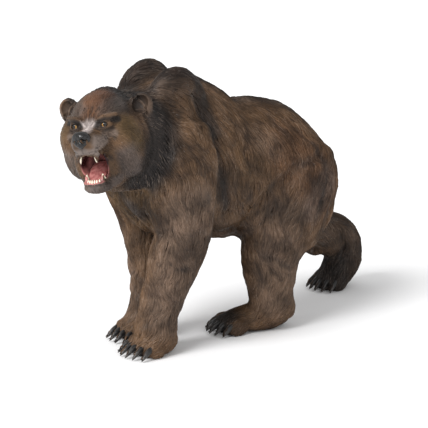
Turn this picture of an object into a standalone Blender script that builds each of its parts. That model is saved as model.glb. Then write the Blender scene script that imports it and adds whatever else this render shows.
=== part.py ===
"""Painted plastic figure of a cave bear that strides and roars.

Metres, +Z up. The bear faces -X and its left side is towards -Y. The origin is on the floor,
under the middle of the figure's box. The sizes below are millimetres on a figure 160 mm long,
measured from the floor under the near forepaw until the finished parts are moved to the origin.
The body is fused from plain forms into one hide, then parted by thin cuts into its named parts.
"""

import math

import bmesh
import bpy
from mathutils import Euler, Matrix, Vector

FIGURE_LENGTH = 0.160  # claws to trailing heel
UNIT = FIGURE_LENGTH / 160.0
GAP = 0.3  # between parts that touch
SHARP_ANGLE = math.radians(40)

SIDES = 24  # of a form of the body
MOUTH_SIDES = 20
SMALL_SIDES = 14  # of an eye, a small hollow or the tongue
RINGS_PER_STATION = 4
HIDE_VOXEL = 0.6  # grain of the fused hide
HIDE_SMOOTHING = 8
HIDE_TRIANGLES = 6000
DETAIL_REACH = 26.0  # the hide within this distance of the head's middle is thinned less
DETAIL_SHARE = 0.55

# Heights above the floor
HUMP_TOP = 96.0
HIP_TOP = 78.5
BELLY = 33.5

# Trunk, from the chest to the rump: x, top, bottom, half width
TRUNK = (
    (-6.0, 74.0, 56.0, 7.0),
    (-2.5, 84.0, 48.0, 14.5),
    (5.0, HUMP_TOP - 4.0, 42.0, 19.5),
    (14.0, HUMP_TOP - 1.8, 38.0, 21.0),
    (25.0, HUMP_TOP - 6.4, 35.0, 21.0),
    (37.0, HUMP_TOP - 13.0, BELLY, 21.5),
    (50.0, HIP_TOP + 3.5, BELLY - 0.5, 22.0),
    (63.0, HIP_TOP + 0.3, BELLY + 1.0, 21.0),
    (75.0, HIP_TOP - 8.3, BELLY + 4.0, 18.0),
    (85.0, HIP_TOP - 18.0, BELLY + 8.0, 12.5),
    (90.5, HIP_TOP - 27.0, BELLY + 13.0, 6.0),
)
TRUNK_WIDEST = 0.42  # share of the section's height at which it is widest
SPINE_PEAK = 1.35  # 1 is a round back, more is a narrower ridge

# Neck, from inside the trunk to inside the skull: centre, half width, over and under
NECK = (
    ((14.0, 0.0, 74.0), 17.0, 18.0, 18.0),
    ((3.0, -1.0, 74.0), 17.0, 17.0, 17.0),
    ((-6.0, -3.5, 73.5), 16.0, 16.5, 17.0),
    ((-14.0, -5.5, 74.0), 13.5, 14.5, 16.0),
)

# Shoulder blades, which stand above the spine with a valley between them: centre, radii, turn
BLADES = (
    ((9.8, -8.0, 79.8), (13.2, 7.5, 17.8), (0, 10, 0)),
    ((12.2, 9.0, 80.2), (13.6, 7.5, 17.8), (0, 10, 0)),
)

TAIL = ((87.0, 1.0, 55.0), (3.6, 3.4, 6.5), (0, -20, 0))

# Each leg, from the body down: centre, half side, behind the centre, before the centre
LEGS = {
    "foreleg_left": (
        ((9.0, -12.0, 78.0), 8.0, 12.0, 12.0),
        ((8.0, -15.0, 66.0), 9.5, 13.5, 13.5),
        ((8.0, -15.0, 53.0), 9.5, 13.0, 13.0),
        ((9.0, -13.5, 41.0), 9.0, 11.0, 10.5),
        ((6.5, -11.0, 30.0), 8.2, 9.3, 9.0),
        ((4.0, -8.5, 18.0), 7.2, 7.2, 7.4),
        ((2.5, -7.5, 9.0), 7.2, 6.6, 7.5),
        ((1.5, -7.0, 4.5), 6.2, 5.8, 6.5),
    ),
    "foreleg_right": (
        ((11.0, 12.0, 78.0), 8.0, 12.0, 12.0),
        ((11.0, 14.5, 66.0), 9.5, 13.5, 13.5),
        ((13.0, 14.0, 53.0), 9.0, 12.0, 12.0),
        ((15.5, 12.0, 41.0), 8.4, 10.5, 10.0),
        ((16.0, 10.8, 30.0), 7.8, 8.8, 8.6),
        ((15.0, 10.0, 18.0), 6.8, 7.6, 6.8),
        ((13.2, 9.8, 9.0), 6.8, 7.6, 6.8),
        ((11.5, 9.8, 4.5), 6.2, 7.0, 6.5),
    ),
    "hindleg_left": (
        ((66.0, -10.0, 64.0), 8.5, 16.0, 14.0),
        ((63.0, -13.5, 54.0), 9.5, 19.8, 18.0),
        ((56.5, -14.5, 42.0), 10.0, 19.8, 15.5),
        ((51.0, -14.0, 31.0), 9.5, 16.8, 13.4),
        ((51.5, -13.5, 20.0), 8.3, 8.0, 11.5),
        ((53.0, -13.0, 11.0), 7.6, 7.0, 10.5),
        ((53.5, -12.5, 4.5), 6.6, 7.5, 9.5),
    ),
    "hindleg_right": (
        ((70.0, 10.0, 58.0), 8.5, 14.0, 15.0),
        ((73.0, 13.0, 46.0), 9.5, 14.0, 16.0),
        ((84.0, 13.5, 35.0), 9.0, 10.0, 13.0),
        ((98.0, 12.8, 24.5), 8.3, 8.0, 10.0),
        ((110.0, 12.0, 21.0), 7.3, 7.4, 9.5),
        ((114.3, 11.6, 14.8), 7.0, 7.2, 8.0),
        ((112.5, 11.4, 9.0), 6.8, 7.0, 7.0),
        ((108.8, 11.2, 4.5), 6.0, 5.8, 6.0),
    ),
}

# Paws: the heel's and the toes' ends of the sole, half width, height and reach of the claws
PAWS = {
    "forepaw_left": ((10.0, -8.0), (-6.0, -6.6), 7.6, 10.5, 3.4),
    "forepaw_right": ((19.0, 9.8), (3.0, 9.6), 7.6, 10.5, 3.4),
    "hindpaw_left": ((61.0, -12.6), (33.5, -4.8), 7.5, 9.5, 2.4),
    "hindpaw_right": ((114.6, 11.6), (101.3, 11.2), 7.0, 9.5, 2.4),
}
PALM = (0.49, 0.96, 0.5)  # half sizes, as shares of the paw's length, half width and height
PALM_MIDDLE = 0.52  # behind the toes' end, as a share of the paw's length
TOES = 5
TOE = (4.2, 2.1, 0.36)  # half length, half width, and half height as a share of the paw's
TOES_AHEAD = 1.0  # how far the middle toe reaches past the toes' end
TOES_ARC = 1.8  # how far the outer toes stand behind the middle one
TOES_SPLAY = 10  # degrees that the outer toes turn outwards
SOLE_DEPTH = 0.6  # how far the paws' forms reach below the floor before they are cut flat
FLOOR_CUTTER = ((40.0, 0.0, -10.0), (120.0, 60.0, 10.0))  # centre, half sizes
CLAW_RADIUS = 1.0
CLAW_NARROWNESS = 0.8
CLAW_SIDES = 6
CLAW_ROOT = 2.0  # how far a claw starts inside its toe
CLAW_BEND = (  # share of the reach, height above the floor, share of the radius
    (0.0, 3.4, 1.0),
    (0.4, 3.5, 0.95),
    (0.75, 2.5, 0.65),
    (1.0, 0.8, 0.2),
)

# Head: its middle and how it is turned aslant, up and to the bear's left
HEAD_CENTRE = (-18.2, -6.2, 75.3)
HEAD_TURN = (-7.5, 6.0, 30.0)

# Forms of the head in its own frame, with -X forward: centre, radii, turn
SKULL = (
    ((2.0, 0.0, 5.5), (12.5, 11.5, 11.5), (0, 0, 0)),
    ((5.0, 0.0, 10.5), (8.5, 7.0, 7.0), (0, 0, 0)),
    ((-4.5, 0.0, 6.6), (7.5, 8.5, 5.8), (0, 0, 0)),
    ((2.5, 0.0, -7.0), (10.0, 9.0, 8.5), (0, 0, 0)),
    ((-20.6, 0.0, 2.1), (2.3, 3.1, 3.1), (0, 12, 0)),
)
FACE_PAIRS = (
    ((-9.0, 4.8, 8.2), (3.2, 3.5, 1.6), (10, 0, 0)),
    ((-10.9, 4.9, 6.1), (2.4, 2.5, 2.2), (0, 0, 0)),
    ((-1.5, 7.6, 1.5), (9.5, 6.2, 8.5), (0, 0, 0)),
    ((1.5, 7.6, -3.0), (9.5, 6.6, 9.4), (0, 0, 0)),
    ((-4.0, 4.6, -5.6), (8.0, 3.9, 7.6), (0, 0, 0)),
    ((4.0, 12.4, 10.9), (2.3, 4.1, 4.6), (-28, 0, -14)),
)
MUZZLE = (
    ((-4.0, 0.0, 2.8), 8.0, 5.5, 6.0),
    ((-10.0, 0.0, 2.3), 6.4, 4.4, 5.4),
    ((-15.0, 0.0, 1.4), 5.3, 3.6, 4.6),
    ((-19.0, 0.0, 1.0), 4.6, 3.4, 4.0),
    ((-21.0, 0.0, 1.2), 3.2, 2.6, 2.8),
)
JAW = (
    ((3.0, 0.0, -10.0), 8.5, 4.0, 5.0),
    ((-5.0, 0.0, -12.2), 6.6, 2.6, 3.6),
    ((-10.0, 0.0, -13.4), 4.9, 2.0, 2.6),
    ((-13.2, 0.0, -13.8), 3.8, 1.7, 2.1),
    ((-14.6, 0.0, -13.7), 2.4, 1.0, 1.3),
)

# Hollows of the head
MOUTH = ((-12.8, 0.0, -7.6), (9.8, 4.4, 5.0), (0, -10, 0))
EYE = ((-11.2, 4.9, 6.1), 1.5)
LID_OPENING = ((-13.2, 5.1, 6.0), (2.0, 1.25, 0.75), (16, 0, 0))
EAR_CUP = ((2.0, 12.7, 11.2), (2.3, 2.5, 3.1), (-28, 0, -14))
NOSTRIL = ((-22.5, 1.6, 1.9), (1.5, 0.7, 1.1), (25, 0, -35))

# Teeth on each side of a jaw: place of the root, length, radius
UPPER_TEETH = (
    ((-18.6, 0.7, -1.8), 1.8, 0.55),
    ((-18.4, 1.7, -1.8), 2.0, 0.6),
    ((-17.3, 3.0, -1.4), 4.4, 1.0),
    ((-13.0, 3.3, -2.2), 1.6, 0.8),
    ((-11.0, 3.5, -2.4), 1.6, 0.9),
)
LOWER_TEETH = (
    ((-13.9, 0.6, -12.6), 1.5, 0.5),
    ((-13.7, 1.6, -12.6), 1.6, 0.55),
    ((-12.8, 2.8, -12.6), 3.4, 0.9),
    ((-10.4, 3.3, -12.0), 1.5, 0.8),
    ((-8.6, 3.5, -11.4), 1.5, 0.85),
)
TOOTH_SIDES = 7
TOOTH_TAPER = ((-0.35, 1.0), (0.0, 1.0), (0.6, 0.8), (1.0, 0.2))  # shares of length and radius
TOOTH_LEAN = 0.25  # backwards, as a share of the length
TONGUE = (
    ((-5.4, 0.0, -8.0), 1.6, 0.9, 0.9),
    ((-8.0, 0.0, -9.6), 2.2, 1.0, 1.1),
    ((-10.8, 0.0, -11.0), 1.9, 0.8, 0.8),
    ((-12.3, 0.0, -11.7), 1.0, 0.45, 0.45),
)

# The cells that the hide is parted by: part, what it is taken from, shape, centre, half sizes and
# turn. The head's cell comes first, then those that part the head in its own frame, then the body's.
HEAD_CELL = ("head", "hide", "box", (-15.8, 0.0, 14.2), (25.0, 18.5, 30.0), (0, 24.2, 0))
HEAD_CELLS = (
    ("jaw", "head", "box", (0.6, 0.0, -19.1), (16.0, 18.0, 12.0), (0, -12.4, 0)),
    ("nose", "head", "ball", (-21.2, 0.0, 2.6), (3.0, 3.7, 3.4), (0, 0, 0)),
    ("ear_left", "head", "ball", (4.0, -14.4, 12.2), (5.4, 4.8, 5.6), (0, 0, 0)),
    ("ear_right", "head", "ball", (4.0, 14.4, 12.2), (5.4, 4.8, 5.6), (0, 0, 0)),
)
BODY_CELLS = (
    ("neck", "hide", "box", (-22.6, -4.0, 82.0), (20.0, 24.0, 27.0), (0, 20.6, 6)),
    ("forepaw_left", "hide", "box", (0.0, -10.0, 2.0), (21.0, 10.6, 10.0), (0, 0, 0)),
    ("forepaw_right", "hide", "box", (10.0, 11.6, 2.0), (21.0, 10.6, 10.0), (0, 0, 0)),
    ("forearm_left", "hide", "box", (6.0, -14.4, 23.0), (20.0, 15.0, 13.0), (0, 0, 0)),
    ("forearm_right", "hide", "box", (14.0, 15.9, 23.0), (20.0, 15.0, 13.0), (0, 0, 0)),
    ("upper_foreleg_left", "hide", "rounded", (9.0, -20.4, 57.2), (19.0, 13.0, 27.0), (12.3, 0, 0)),
    ("upper_foreleg_right", "hide", "rounded", (13.0, 20.4, 57.2), (19.0, 13.0, 27.0), (-12.3, 0, 0)),
    ("hindpaw_left", "hide", "box", (47.0, -9.0, 1.0), (24.0, 16.0, 10.0), (0, 0, 0)),
    ("hindpaw_right", "hide", "box", (106.0, 10.0, 0.5), (18.0, 12.0, 10.0), (0, 0, 0)),
    ("shank_left", "hide", "box", (56.0, -17.0, 21.5), (20.0, 14.5, 11.0), (0, 0, 0)),
    ("shank_right", "hide", "box", (107.0, 13.0, 21.0), (20.0, 12.0, 16.0), (0, 36.9, 0)),
    ("thigh_left", "hide", "rounded", (62.0, -19.5, 49.5), (23.0, 13.0, 22.0), (13.0, 0, 0)),
    ("thigh_right", "hide", "rounded", (76.0, 20.0, 47.5), (19.0, 13.0, 21.0), (-12.0, 0, 0)),
    ("tail", "hide", "ball", (91.5, 1.0, 54.0), (5.5, 6.0, 9.0), (0, -20, 0)),
    ("chest", "hide", "box", (-10.0, 0.0, 60.0), (40.0, 40.0, 50.0), (0, 0, 0)),
    ("rump", "hide", "box", (96.0, 0.0, 60.0), (40.0, 40.0, 50.0), (0, 0, 0)),
)
LAST_PART = "belly"  # what is left of the hide
CELL_ROUNDING = 6.0
CELL_ROUNDING_STEPS = 2

# Colours and finishes: base colour, roughness
FINISHES = {
    "fur": ((0.105, 0.066, 0.043), 0.62),
    "dark_fur": ((0.035, 0.029, 0.027), 0.60),
    "nose": ((0.012, 0.012, 0.013), 0.25),
    "eye": ((0.36, 0.19, 0.05), 0.12),
    "tongue": ((0.42, 0.13, 0.12), 0.35),
}
DARK_PARTS = ("neck", "hindpaw_left", "hindpaw_right", "shank_right")


def clear_scene():
    for obj in list(bpy.data.objects):
        bpy.data.objects.remove(obj, do_unlink=True)


def turned(angles):
    return Euler([math.radians(angle) for angle in angles])


def frame(centre, angles, scale=(1, 1, 1)):
    return Matrix.LocRotScale(Vector(centre), turned(angles), Vector(scale))


HEAD_FRAME = frame(HEAD_CENTRE, HEAD_TURN)


def along_curve(rows, steps):
    """The rows with more between them, on a smooth curve through each of them."""
    points = [Vector(row) for row in rows]
    padded = [2 * points[0] - points[1], *points, 2 * points[-1] - points[-2]]
    fine = []
    for a, b, c, d in zip(padded, padded[1:], padded[2:], padded[3:]):
        for k in range(steps):
            t = k / steps
            bend = (c - a) * t + (2 * a - 5 * b + 4 * c - d) * t**2 + (3 * b - a - 3 * c + d) * t**3
            fine.append(b + 0.5 * bend)
    fine.append(points[-1])
    return fine


def loft(bm, stations, matrix=Matrix.Identity(4), peak=1.0, sides=SIDES, steps=RINGS_PER_STATION):
    """A closed tube through stations of a centre and its half side, over and under."""
    rows = along_curve([(*centre, *sizes) for centre, *sizes in stations], steps)
    upward = Vector((0.5, 0, 1))
    rings = []
    for i, row in enumerate(rows):
        centre = Vector(row[:3])
        following = Vector(rows[min(i + 1, len(rows) - 1)][:3])
        previous = Vector(rows[max(i - 1, 0)][:3])
        along = (following - previous).normalized()
        across = (Vector((0, 1, 0)) - along.y * along).normalized()
        square = across.cross(along)
        upward = square if square.dot(upward) > 0 else -square
        side, over, under = row[3:]
        ring = []
        for k in range(sides):
            c = math.cos(2 * math.pi * k / sides)
            s = math.sin(2 * math.pi * k / sides)
            width = math.copysign(abs(c) ** (peak if s > 0 else 1.0), c)
            height = over if s > 0 else under
            ring.append(bm.verts.new(matrix @ (centre + across * side * width + upward * height * s)))
        rings.append(ring)
    for ring, following in zip(rings, rings[1:]):
        for k in range(sides):
            n = (k + 1) % sides
            bm.faces.new((ring[k], ring[n], following[n], following[k]))
    bm.faces.new(reversed(rings[0]))
    bm.faces.new(rings[-1])


def ball(bm, centre, radii, angles=(0, 0, 0), matrix=Matrix.Identity(4), sides=SIDES):
    placed = matrix @ frame(centre, angles, radii)
    bmesh.ops.create_uvsphere(bm, u_segments=sides, v_segments=sides // 2, radius=1.0, matrix=placed)


def new_object(name, bm, collection):
    """A mesh object from the bmesh, its faces turned outwards."""
    bmesh.ops.recalc_face_normals(bm, faces=bm.faces)
    mesh = bpy.data.meshes.new(name)
    bm.to_mesh(mesh)
    bm.free()
    obj = bpy.data.objects.new(name, mesh)
    collection.objects.link(obj)
    return obj


def evaluated_mesh(obj):
    bpy.context.view_layer.update()
    return bpy.data.meshes.new_from_object(obj.evaluated_get(bpy.context.evaluated_depsgraph_get()))


def settle(obj, mesh):
    """Puts the mesh in place of the old one and its modifiers."""
    old = obj.data
    obj.modifiers.clear()
    obj.data = mesh
    bpy.data.meshes.remove(old)


def is_closed(mesh):
    bm = bmesh.new()
    bm.from_mesh(mesh)
    closed = len(bm.faces) > 0 and all(edge.is_manifold for edge in bm.edges)
    bm.free()
    return closed


def combine(obj, operation, cutter):
    """A Boolean with an object or with a collection of them."""
    step = obj.modifiers.new(operation.lower(), "BOOLEAN")
    step.operation = operation
    if isinstance(cutter, bpy.types.Collection):
        step.operand_type = "COLLECTION"
        step.collection = cutter
    else:
        step.object = cutter
    step.solver = "EXACT"
    mesh = evaluated_mesh(obj)
    if not is_closed(mesh):
        bpy.data.meshes.remove(mesh)
        step.solver = "MANIFOLD"
        mesh = evaluated_mesh(obj)
    settle(obj, mesh)


def combine_all(obj, operation, shapes, workshop):
    """A Boolean with many small closed shapes, which may overlap one another."""
    cutters = bpy.data.collections.new("cutters")
    workshop.children.link(cutters)
    for bm in shapes:
        new_object("cutter", bm, cutters)
    combine(obj, operation, cutters)
    for cutter in list(cutters.objects):
        bpy.data.objects.remove(cutter)
    bpy.data.collections.remove(cutters)


def keep_largest(obj):
    """Drops all but the largest closed surface of the mesh."""
    bm = bmesh.new()
    bm.from_mesh(obj.data)
    bmesh.ops.remove_doubles(bm, verts=bm.verts, dist=1e-4)
    unseen = set(bm.faces)
    pieces = []
    while unseen:
        piece = [unseen.pop()]
        for face in piece:
            for edge in face.edges:
                for other in edge.link_faces:
                    if other in unseen:
                        unseen.remove(other)
                        piece.append(other)
        pieces.append(piece)
    largest = max(pieces, key=lambda piece: sum(face.calc_area() for face in piece))
    scraps = [face for piece in pieces if piece is not largest for face in piece]
    bmesh.ops.delete(bm, geom=scraps, context="FACES")
    bmesh.ops.triangulate(bm, faces=bm.faces)
    bm.to_mesh(obj.data)
    bm.free()


def add_trunk(bm):
    stations = []
    for x, top, bottom, half_width in TRUNK:
        middle = bottom + TRUNK_WIDEST * (top - bottom)
        stations.append(((x, 0.0, middle), half_width, top - middle, middle - bottom))
    loft(bm, stations, peak=SPINE_PEAK)
    loft(bm, NECK)
    for blade in BLADES:
        ball(bm, *blade)
    ball(bm, *TAIL)


def paw_frame(heel, toe):
    """The frame of a paw: on the floor at the toes' end, with X ahead."""
    ahead = Vector(toe) - Vector(heel)
    heading = math.degrees(math.atan2(ahead.y, ahead.x))
    return frame((*toe, 0.0), (0, 0, heading))


def toe_places(half_width, height):
    """Each toe's middle and heading in the paw's frame, from one side to the other."""
    for k in range(TOES):
        spread = 2 * k / (TOES - 1) - 1
        ahead = TOES_AHEAD - TOES_ARC * spread**2 - TOE[0]
        aside = spread * (half_width - TOE[1])
        yield (ahead, aside, height * TOE[2] - SOLE_DEPTH), TOES_SPLAY * spread


def add_paw(bm, heel, toe, half_width, height):
    """A palm and a fan of toes."""
    placed = paw_frame(heel, toe)
    length = (Vector(toe) - Vector(heel)).length
    radii = (length * PALM[0], half_width * PALM[1], height * PALM[2])
    ball(bm, (-length * PALM_MIDDLE, 0.0, radii[2] - SOLE_DEPTH), radii, matrix=placed)
    for centre, heading in toe_places(half_width, height):
        ball(bm, centre, (TOE[0], TOE[1], height * TOE[2]), (0, 0, heading), placed)


def add_head(bm):
    for centre, radii, angles in SKULL:
        ball(bm, centre, radii, angles, HEAD_FRAME)
    for (x, y, z), radii, (roll, pitch, yaw) in FACE_PAIRS:
        for hand in (-1, 1):
            ball(bm, (x, hand * y, z), radii, (hand * roll, pitch, hand * yaw), HEAD_FRAME)
    loft(bm, MUZZLE, HEAD_FRAME)
    loft(bm, JAW, HEAD_FRAME)


def fuse_hide(workshop):
    """The whole body as one closed surface, thinned less about the face."""
    bm = bmesh.new()
    add_trunk(bm)
    add_head(bm)
    for stations in LEGS.values():
        loft(bm, stations)
    for heel, toe, half_width, height, _ in PAWS.values():
        add_paw(bm, heel, toe, half_width, height)
    hide = new_object("hide", bm, workshop)
    remesh = hide.modifiers.new("fuse", "REMESH")
    remesh.mode = "VOXEL"
    remesh.voxel_size = HIDE_VOXEL
    smooth = hide.modifiers.new("soften", "SMOOTH")
    smooth.iterations = HIDE_SMOOTHING
    settle(hide, evaluated_mesh(hide))
    plain = hide.vertex_groups.new(name="plain")
    middle = Vector(HEAD_CENTRE)
    for vertex in hide.data.vertices:
        near = (vertex.co - middle).length < DETAIL_REACH
        plain.add([vertex.index], DETAIL_SHARE if near else 1.0, "REPLACE")
    thin = hide.modifiers.new("thin", "DECIMATE")
    thin.ratio = HIDE_TRIANGLES / (2 * len(hide.data.polygons))
    thin.vertex_group = plain.name
    thin.use_collapse_triangulate = True
    settle(hide, evaluated_mesh(hide))
    return hide


def ball_in_head(centre, radii, angles, sides):
    bm = bmesh.new()
    ball(bm, centre, radii, angles, HEAD_FRAME, sides)
    return bm


def hollow(hide, workshop):
    """Cuts the mouth, the sockets, the ears' cups, the nostrils and the flat of the soles."""
    shapes = [ball_in_head(*MOUTH, MOUTH_SIDES)]
    for hand in (-1, 1):
        (x, y, z), radius = EYE
        shapes.append(ball_in_head((x, hand * y, z), (radius + GAP,) * 3, (0, 0, 0), SMALL_SIDES))
        for (x, y, z), radii, (roll, pitch, yaw) in (LID_OPENING, EAR_CUP, NOSTRIL):
            turn = (hand * roll, pitch, hand * yaw)
            shapes.append(ball_in_head((x, hand * y, z), radii, turn, SMALL_SIDES))
    floor = bmesh.new()
    centre, half_sizes = FLOOR_CUTTER
    bmesh.ops.create_cube(floor, size=2.0, matrix=frame(centre, (0, 0, 0), half_sizes))
    shapes.append(floor)
    combine_all(hide, "DIFFERENCE", shapes, workshop)


def tooth_shapes():
    """Rows of pegs, rooted in both jaws: the canines are long cones that bend back."""
    for teeth, way in ((UPPER_TEETH, -1), (LOWER_TEETH, 1)):
        for (x, y, z), length, radius in teeth:
            for hand in (-1, 1):
                stations = []
                for share, thick in TOOTH_TAPER:
                    centre = (x + TOOTH_LEAN * length * share, hand * y, z + way * length * share)
                    stations.append((centre, *(radius * thick,) * 3))
                bm = bmesh.new()
                loft(bm, stations, HEAD_FRAME, sides=TOOTH_SIDES, steps=1)
                yield bm


def claw_shapes(heel, toe, half_width, height, reach):
    """A hooked claw on each toe, its root sunk in the toe and its tip just above the floor."""
    placed = paw_frame(heel, toe)
    for centre, heading in toe_places(half_width, height):
        stations = []
        for share, z, thick in CLAW_BEND:
            ahead = TOE[0] - CLAW_ROOT + share * (reach + CLAW_ROOT)
            radius = CLAW_RADIUS * thick
            stations.append(((ahead, 0.0, z - centre[2]), radius * CLAW_NARROWNESS, radius, radius))
        bm = bmesh.new()
        loft(bm, stations, placed @ frame(centre, (0, 0, heading)), sides=CLAW_SIDES, steps=1)
        yield bm


def root_teeth_and_claws(hide, workshop):
    """Fuses every tooth and claw with the hide that it grows from."""
    shapes = list(tooth_shapes())
    for paw in PAWS.values():
        shapes += claw_shapes(*paw)
    combine_all(hide, "UNION", shapes, workshop)
    keep_largest(hide)


def new_cell(shape, centre, half_sizes, angles, matrix, grown, workshop):
    """The solid that a part is cut out with, larger or smaller by a small amount."""
    placed = matrix @ frame(centre, angles)
    sizes = Vector(half_sizes) + Vector((grown,) * 3)
    bm = bmesh.new()
    if shape == "ball":
        bmesh.ops.create_uvsphere(bm, u_segments=SMALL_SIDES, v_segments=SMALL_SIDES // 2, radius=1.0)
    else:
        bmesh.ops.create_cube(bm, size=2.0)
    bmesh.ops.scale(bm, vec=sizes, verts=bm.verts)
    if shape == "rounded":
        rounding = CELL_ROUNDING + grown
        steps = CELL_ROUNDING_STEPS
        bmesh.ops.bevel(bm, geom=bm.edges, offset=rounding, segments=steps, profile=0.5, affect="EDGES")
    bmesh.ops.transform(bm, matrix=placed, verts=bm.verts)
    return new_object("cell", bm, workshop)


def divide(hide, workshop):
    """Parts the hide by the cells, leaving the gap between neighbours."""
    parts = {"hide": hide}
    cells = [(HEAD_CELL, HEAD_FRAME)]
    cells += [(cell, HEAD_FRAME) for cell in HEAD_CELLS]
    cells += [(cell, Matrix.Identity(4)) for cell in BODY_CELLS]
    for (name, source, shape, centre, half_sizes, angles), matrix in cells:
        whole = parts[source]
        taken = bpy.data.objects.new(name, whole.data.copy())
        workshop.objects.link(taken)
        for obj, operation, grown in ((taken, "INTERSECT", -GAP / 2), (whole, "DIFFERENCE", GAP / 2)):
            cell = new_cell(shape, centre, half_sizes, angles, matrix, grown, workshop)
            combine(obj, operation, cell)
            bpy.data.objects.remove(cell)
            keep_largest(obj)
        parts[name] = taken
    parts[LAST_PART] = parts.pop("hide")
    return parts


def add_loose_parts(parts, workshop):
    """The eyes in their sockets, and the tongue in the mouth."""
    (x, y, z), radius = EYE
    for side, hand in (("left", -1), ("right", 1)):
        bm = bmesh.new()
        ball(bm, (x, hand * y, z), (radius,) * 3, matrix=HEAD_FRAME, sides=SMALL_SIDES)
        bmesh.ops.triangulate(bm, faces=bm.faces)
        parts["eye_" + side] = new_object("eye_" + side, bm, workshop)
    bm = bmesh.new()
    loft(bm, TONGUE, HEAD_FRAME, sides=SMALL_SIDES, steps=2)
    bmesh.ops.triangulate(bm, faces=bm.faces)
    parts["tongue"] = new_object("tongue", bm, workshop)


def middle_of_floor(parts):
    """The middle of the figure's box, at the height of the soles."""
    points = [vertex.co for obj in parts.values() for vertex in obj.data.vertices]
    spans = [(min(p[axis] for p in points), max(p[axis] for p in points)) for axis in range(2)]
    return Vector([(low + high) / 2 for low, high in spans] + [0.0])


def finish(parts, workshop):
    """Names the parts, brings them to real size and gives each its own material."""
    figure = bpy.data.collections.new("cave_bear_figure")
    bpy.context.scene.collection.children.link(figure)
    to_origin = Matrix.Scale(UNIT, 4) @ Matrix.Translation(-middle_of_floor(parts))
    for name, obj in parts.items():
        obj.name = name
        obj.data.name = name
        obj.data.transform(to_origin)
        obj.data.shade_smooth()
        obj.data.set_sharp_from_angle(angle=SHARP_ANGLE)
        figure.objects.link(obj)
        workshop.objects.unlink(obj)
        finish_name = name.split("_")[0]
        if finish_name not in FINISHES:
            finish_name = "dark_fur" if name in DARK_PARTS else "fur"
        colour, roughness = FINISHES[finish_name]
        material = bpy.data.materials.new(name)
        material.use_nodes = True
        shader = material.node_tree.nodes["Principled BSDF"]
        shader.inputs["Base Color"].default_value = (*colour, 1.0)
        shader.inputs["Roughness"].default_value = roughness
        shader.inputs["Metallic"].default_value = 0.0
        obj.data.materials.clear()
        obj.data.materials.append(material)


def main():
    clear_scene()
    workshop = bpy.data.collections.new("workshop")
    bpy.context.scene.collection.children.link(workshop)
    hide = fuse_hide(workshop)
    hollow(hide, workshop)
    root_teeth_and_claws(hide, workshop)
    parts = divide(hide, workshop)
    add_loose_parts(parts, workshop)
    finish(parts, workshop)


main()
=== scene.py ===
import math

import bmesh
import bpy
import numpy as np
from mathutils import Euler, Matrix, Vector, bvhtree, kdtree, noise


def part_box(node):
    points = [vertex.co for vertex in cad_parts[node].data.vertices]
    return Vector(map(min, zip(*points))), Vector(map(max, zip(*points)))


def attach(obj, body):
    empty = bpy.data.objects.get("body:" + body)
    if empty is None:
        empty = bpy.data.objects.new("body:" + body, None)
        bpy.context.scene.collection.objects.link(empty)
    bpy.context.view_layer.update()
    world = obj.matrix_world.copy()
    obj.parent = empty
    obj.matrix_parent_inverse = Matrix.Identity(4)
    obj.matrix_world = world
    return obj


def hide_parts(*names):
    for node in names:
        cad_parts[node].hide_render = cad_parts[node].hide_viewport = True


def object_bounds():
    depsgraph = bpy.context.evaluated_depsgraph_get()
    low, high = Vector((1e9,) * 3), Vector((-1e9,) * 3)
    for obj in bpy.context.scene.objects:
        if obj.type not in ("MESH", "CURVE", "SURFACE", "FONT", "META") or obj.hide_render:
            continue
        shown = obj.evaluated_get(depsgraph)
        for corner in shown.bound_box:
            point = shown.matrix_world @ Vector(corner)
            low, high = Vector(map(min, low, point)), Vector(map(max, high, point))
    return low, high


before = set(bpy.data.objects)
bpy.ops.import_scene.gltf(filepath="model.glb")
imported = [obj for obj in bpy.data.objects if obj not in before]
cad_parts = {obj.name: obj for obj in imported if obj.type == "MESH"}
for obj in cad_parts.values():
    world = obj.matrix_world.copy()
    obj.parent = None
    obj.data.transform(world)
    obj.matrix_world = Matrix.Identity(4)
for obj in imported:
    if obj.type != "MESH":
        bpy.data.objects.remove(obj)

# A painted, moulded plastic figure of a cave bear: one hide with a moulded coat over it.
# Sizes are millimetres in the figure's own place, as in the solids' source, until a mesh is done.

mm = 0.001
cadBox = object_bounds()
boxRoom = 0.5  # how near to the box's sides a mesh begins to be pressed in

headPlace = {
    "middle": (-18.2, -6.2, 75.3),  # in the figure
    "turn": (-7.5, 6.0, 30.0),  # aslant, up and to the bear's left
    "eye": (-11.2, 4.9, 6.1),  # in the head's frame, -X forward
    "eyeRadius": 1.5,
}


def boxMiddle(node):
    low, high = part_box(node)
    return (low + high) / 2


headTurn = Euler([math.radians(angle) for angle in headPlace["turn"]]).to_matrix()
eyesMiddle = (boxMiddle("eye_left") + boxMiddle("eye_right")) / 2
eyeX, eyeY, eyeZ = headPlace["eye"]
headSpot = eyesMiddle - headTurn @ Vector((eyeX, 0, eyeZ)) * mm
figureSpot = headSpot - Vector(headPlace["middle"]) * mm
headAxes = np.array(headTurn)


def toFigure(worldPoints):
    return (np.asarray(worldPoints) - np.array(figureSpot)) / mm


def toWorld(figurePoints):
    return np.asarray(figurePoints) * mm + np.array(figureSpot)


def toHead(figurePoints):
    return (np.asarray(figurePoints, float) - np.array(headPlace["middle"])) @ headAxes


def fromHead(headPoints):
    return np.asarray(headPoints, float) @ headAxes.T + np.array(headPlace["middle"])


def easeIn(values):
    held = np.clip(values, 0.0, 1.0)
    return held * held * (3 - 2 * held)


# Meshes

def newObject(name, mesh):
    piece = bpy.data.objects.new(name, mesh)
    bpy.context.scene.collection.objects.link(piece)
    return piece


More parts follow.
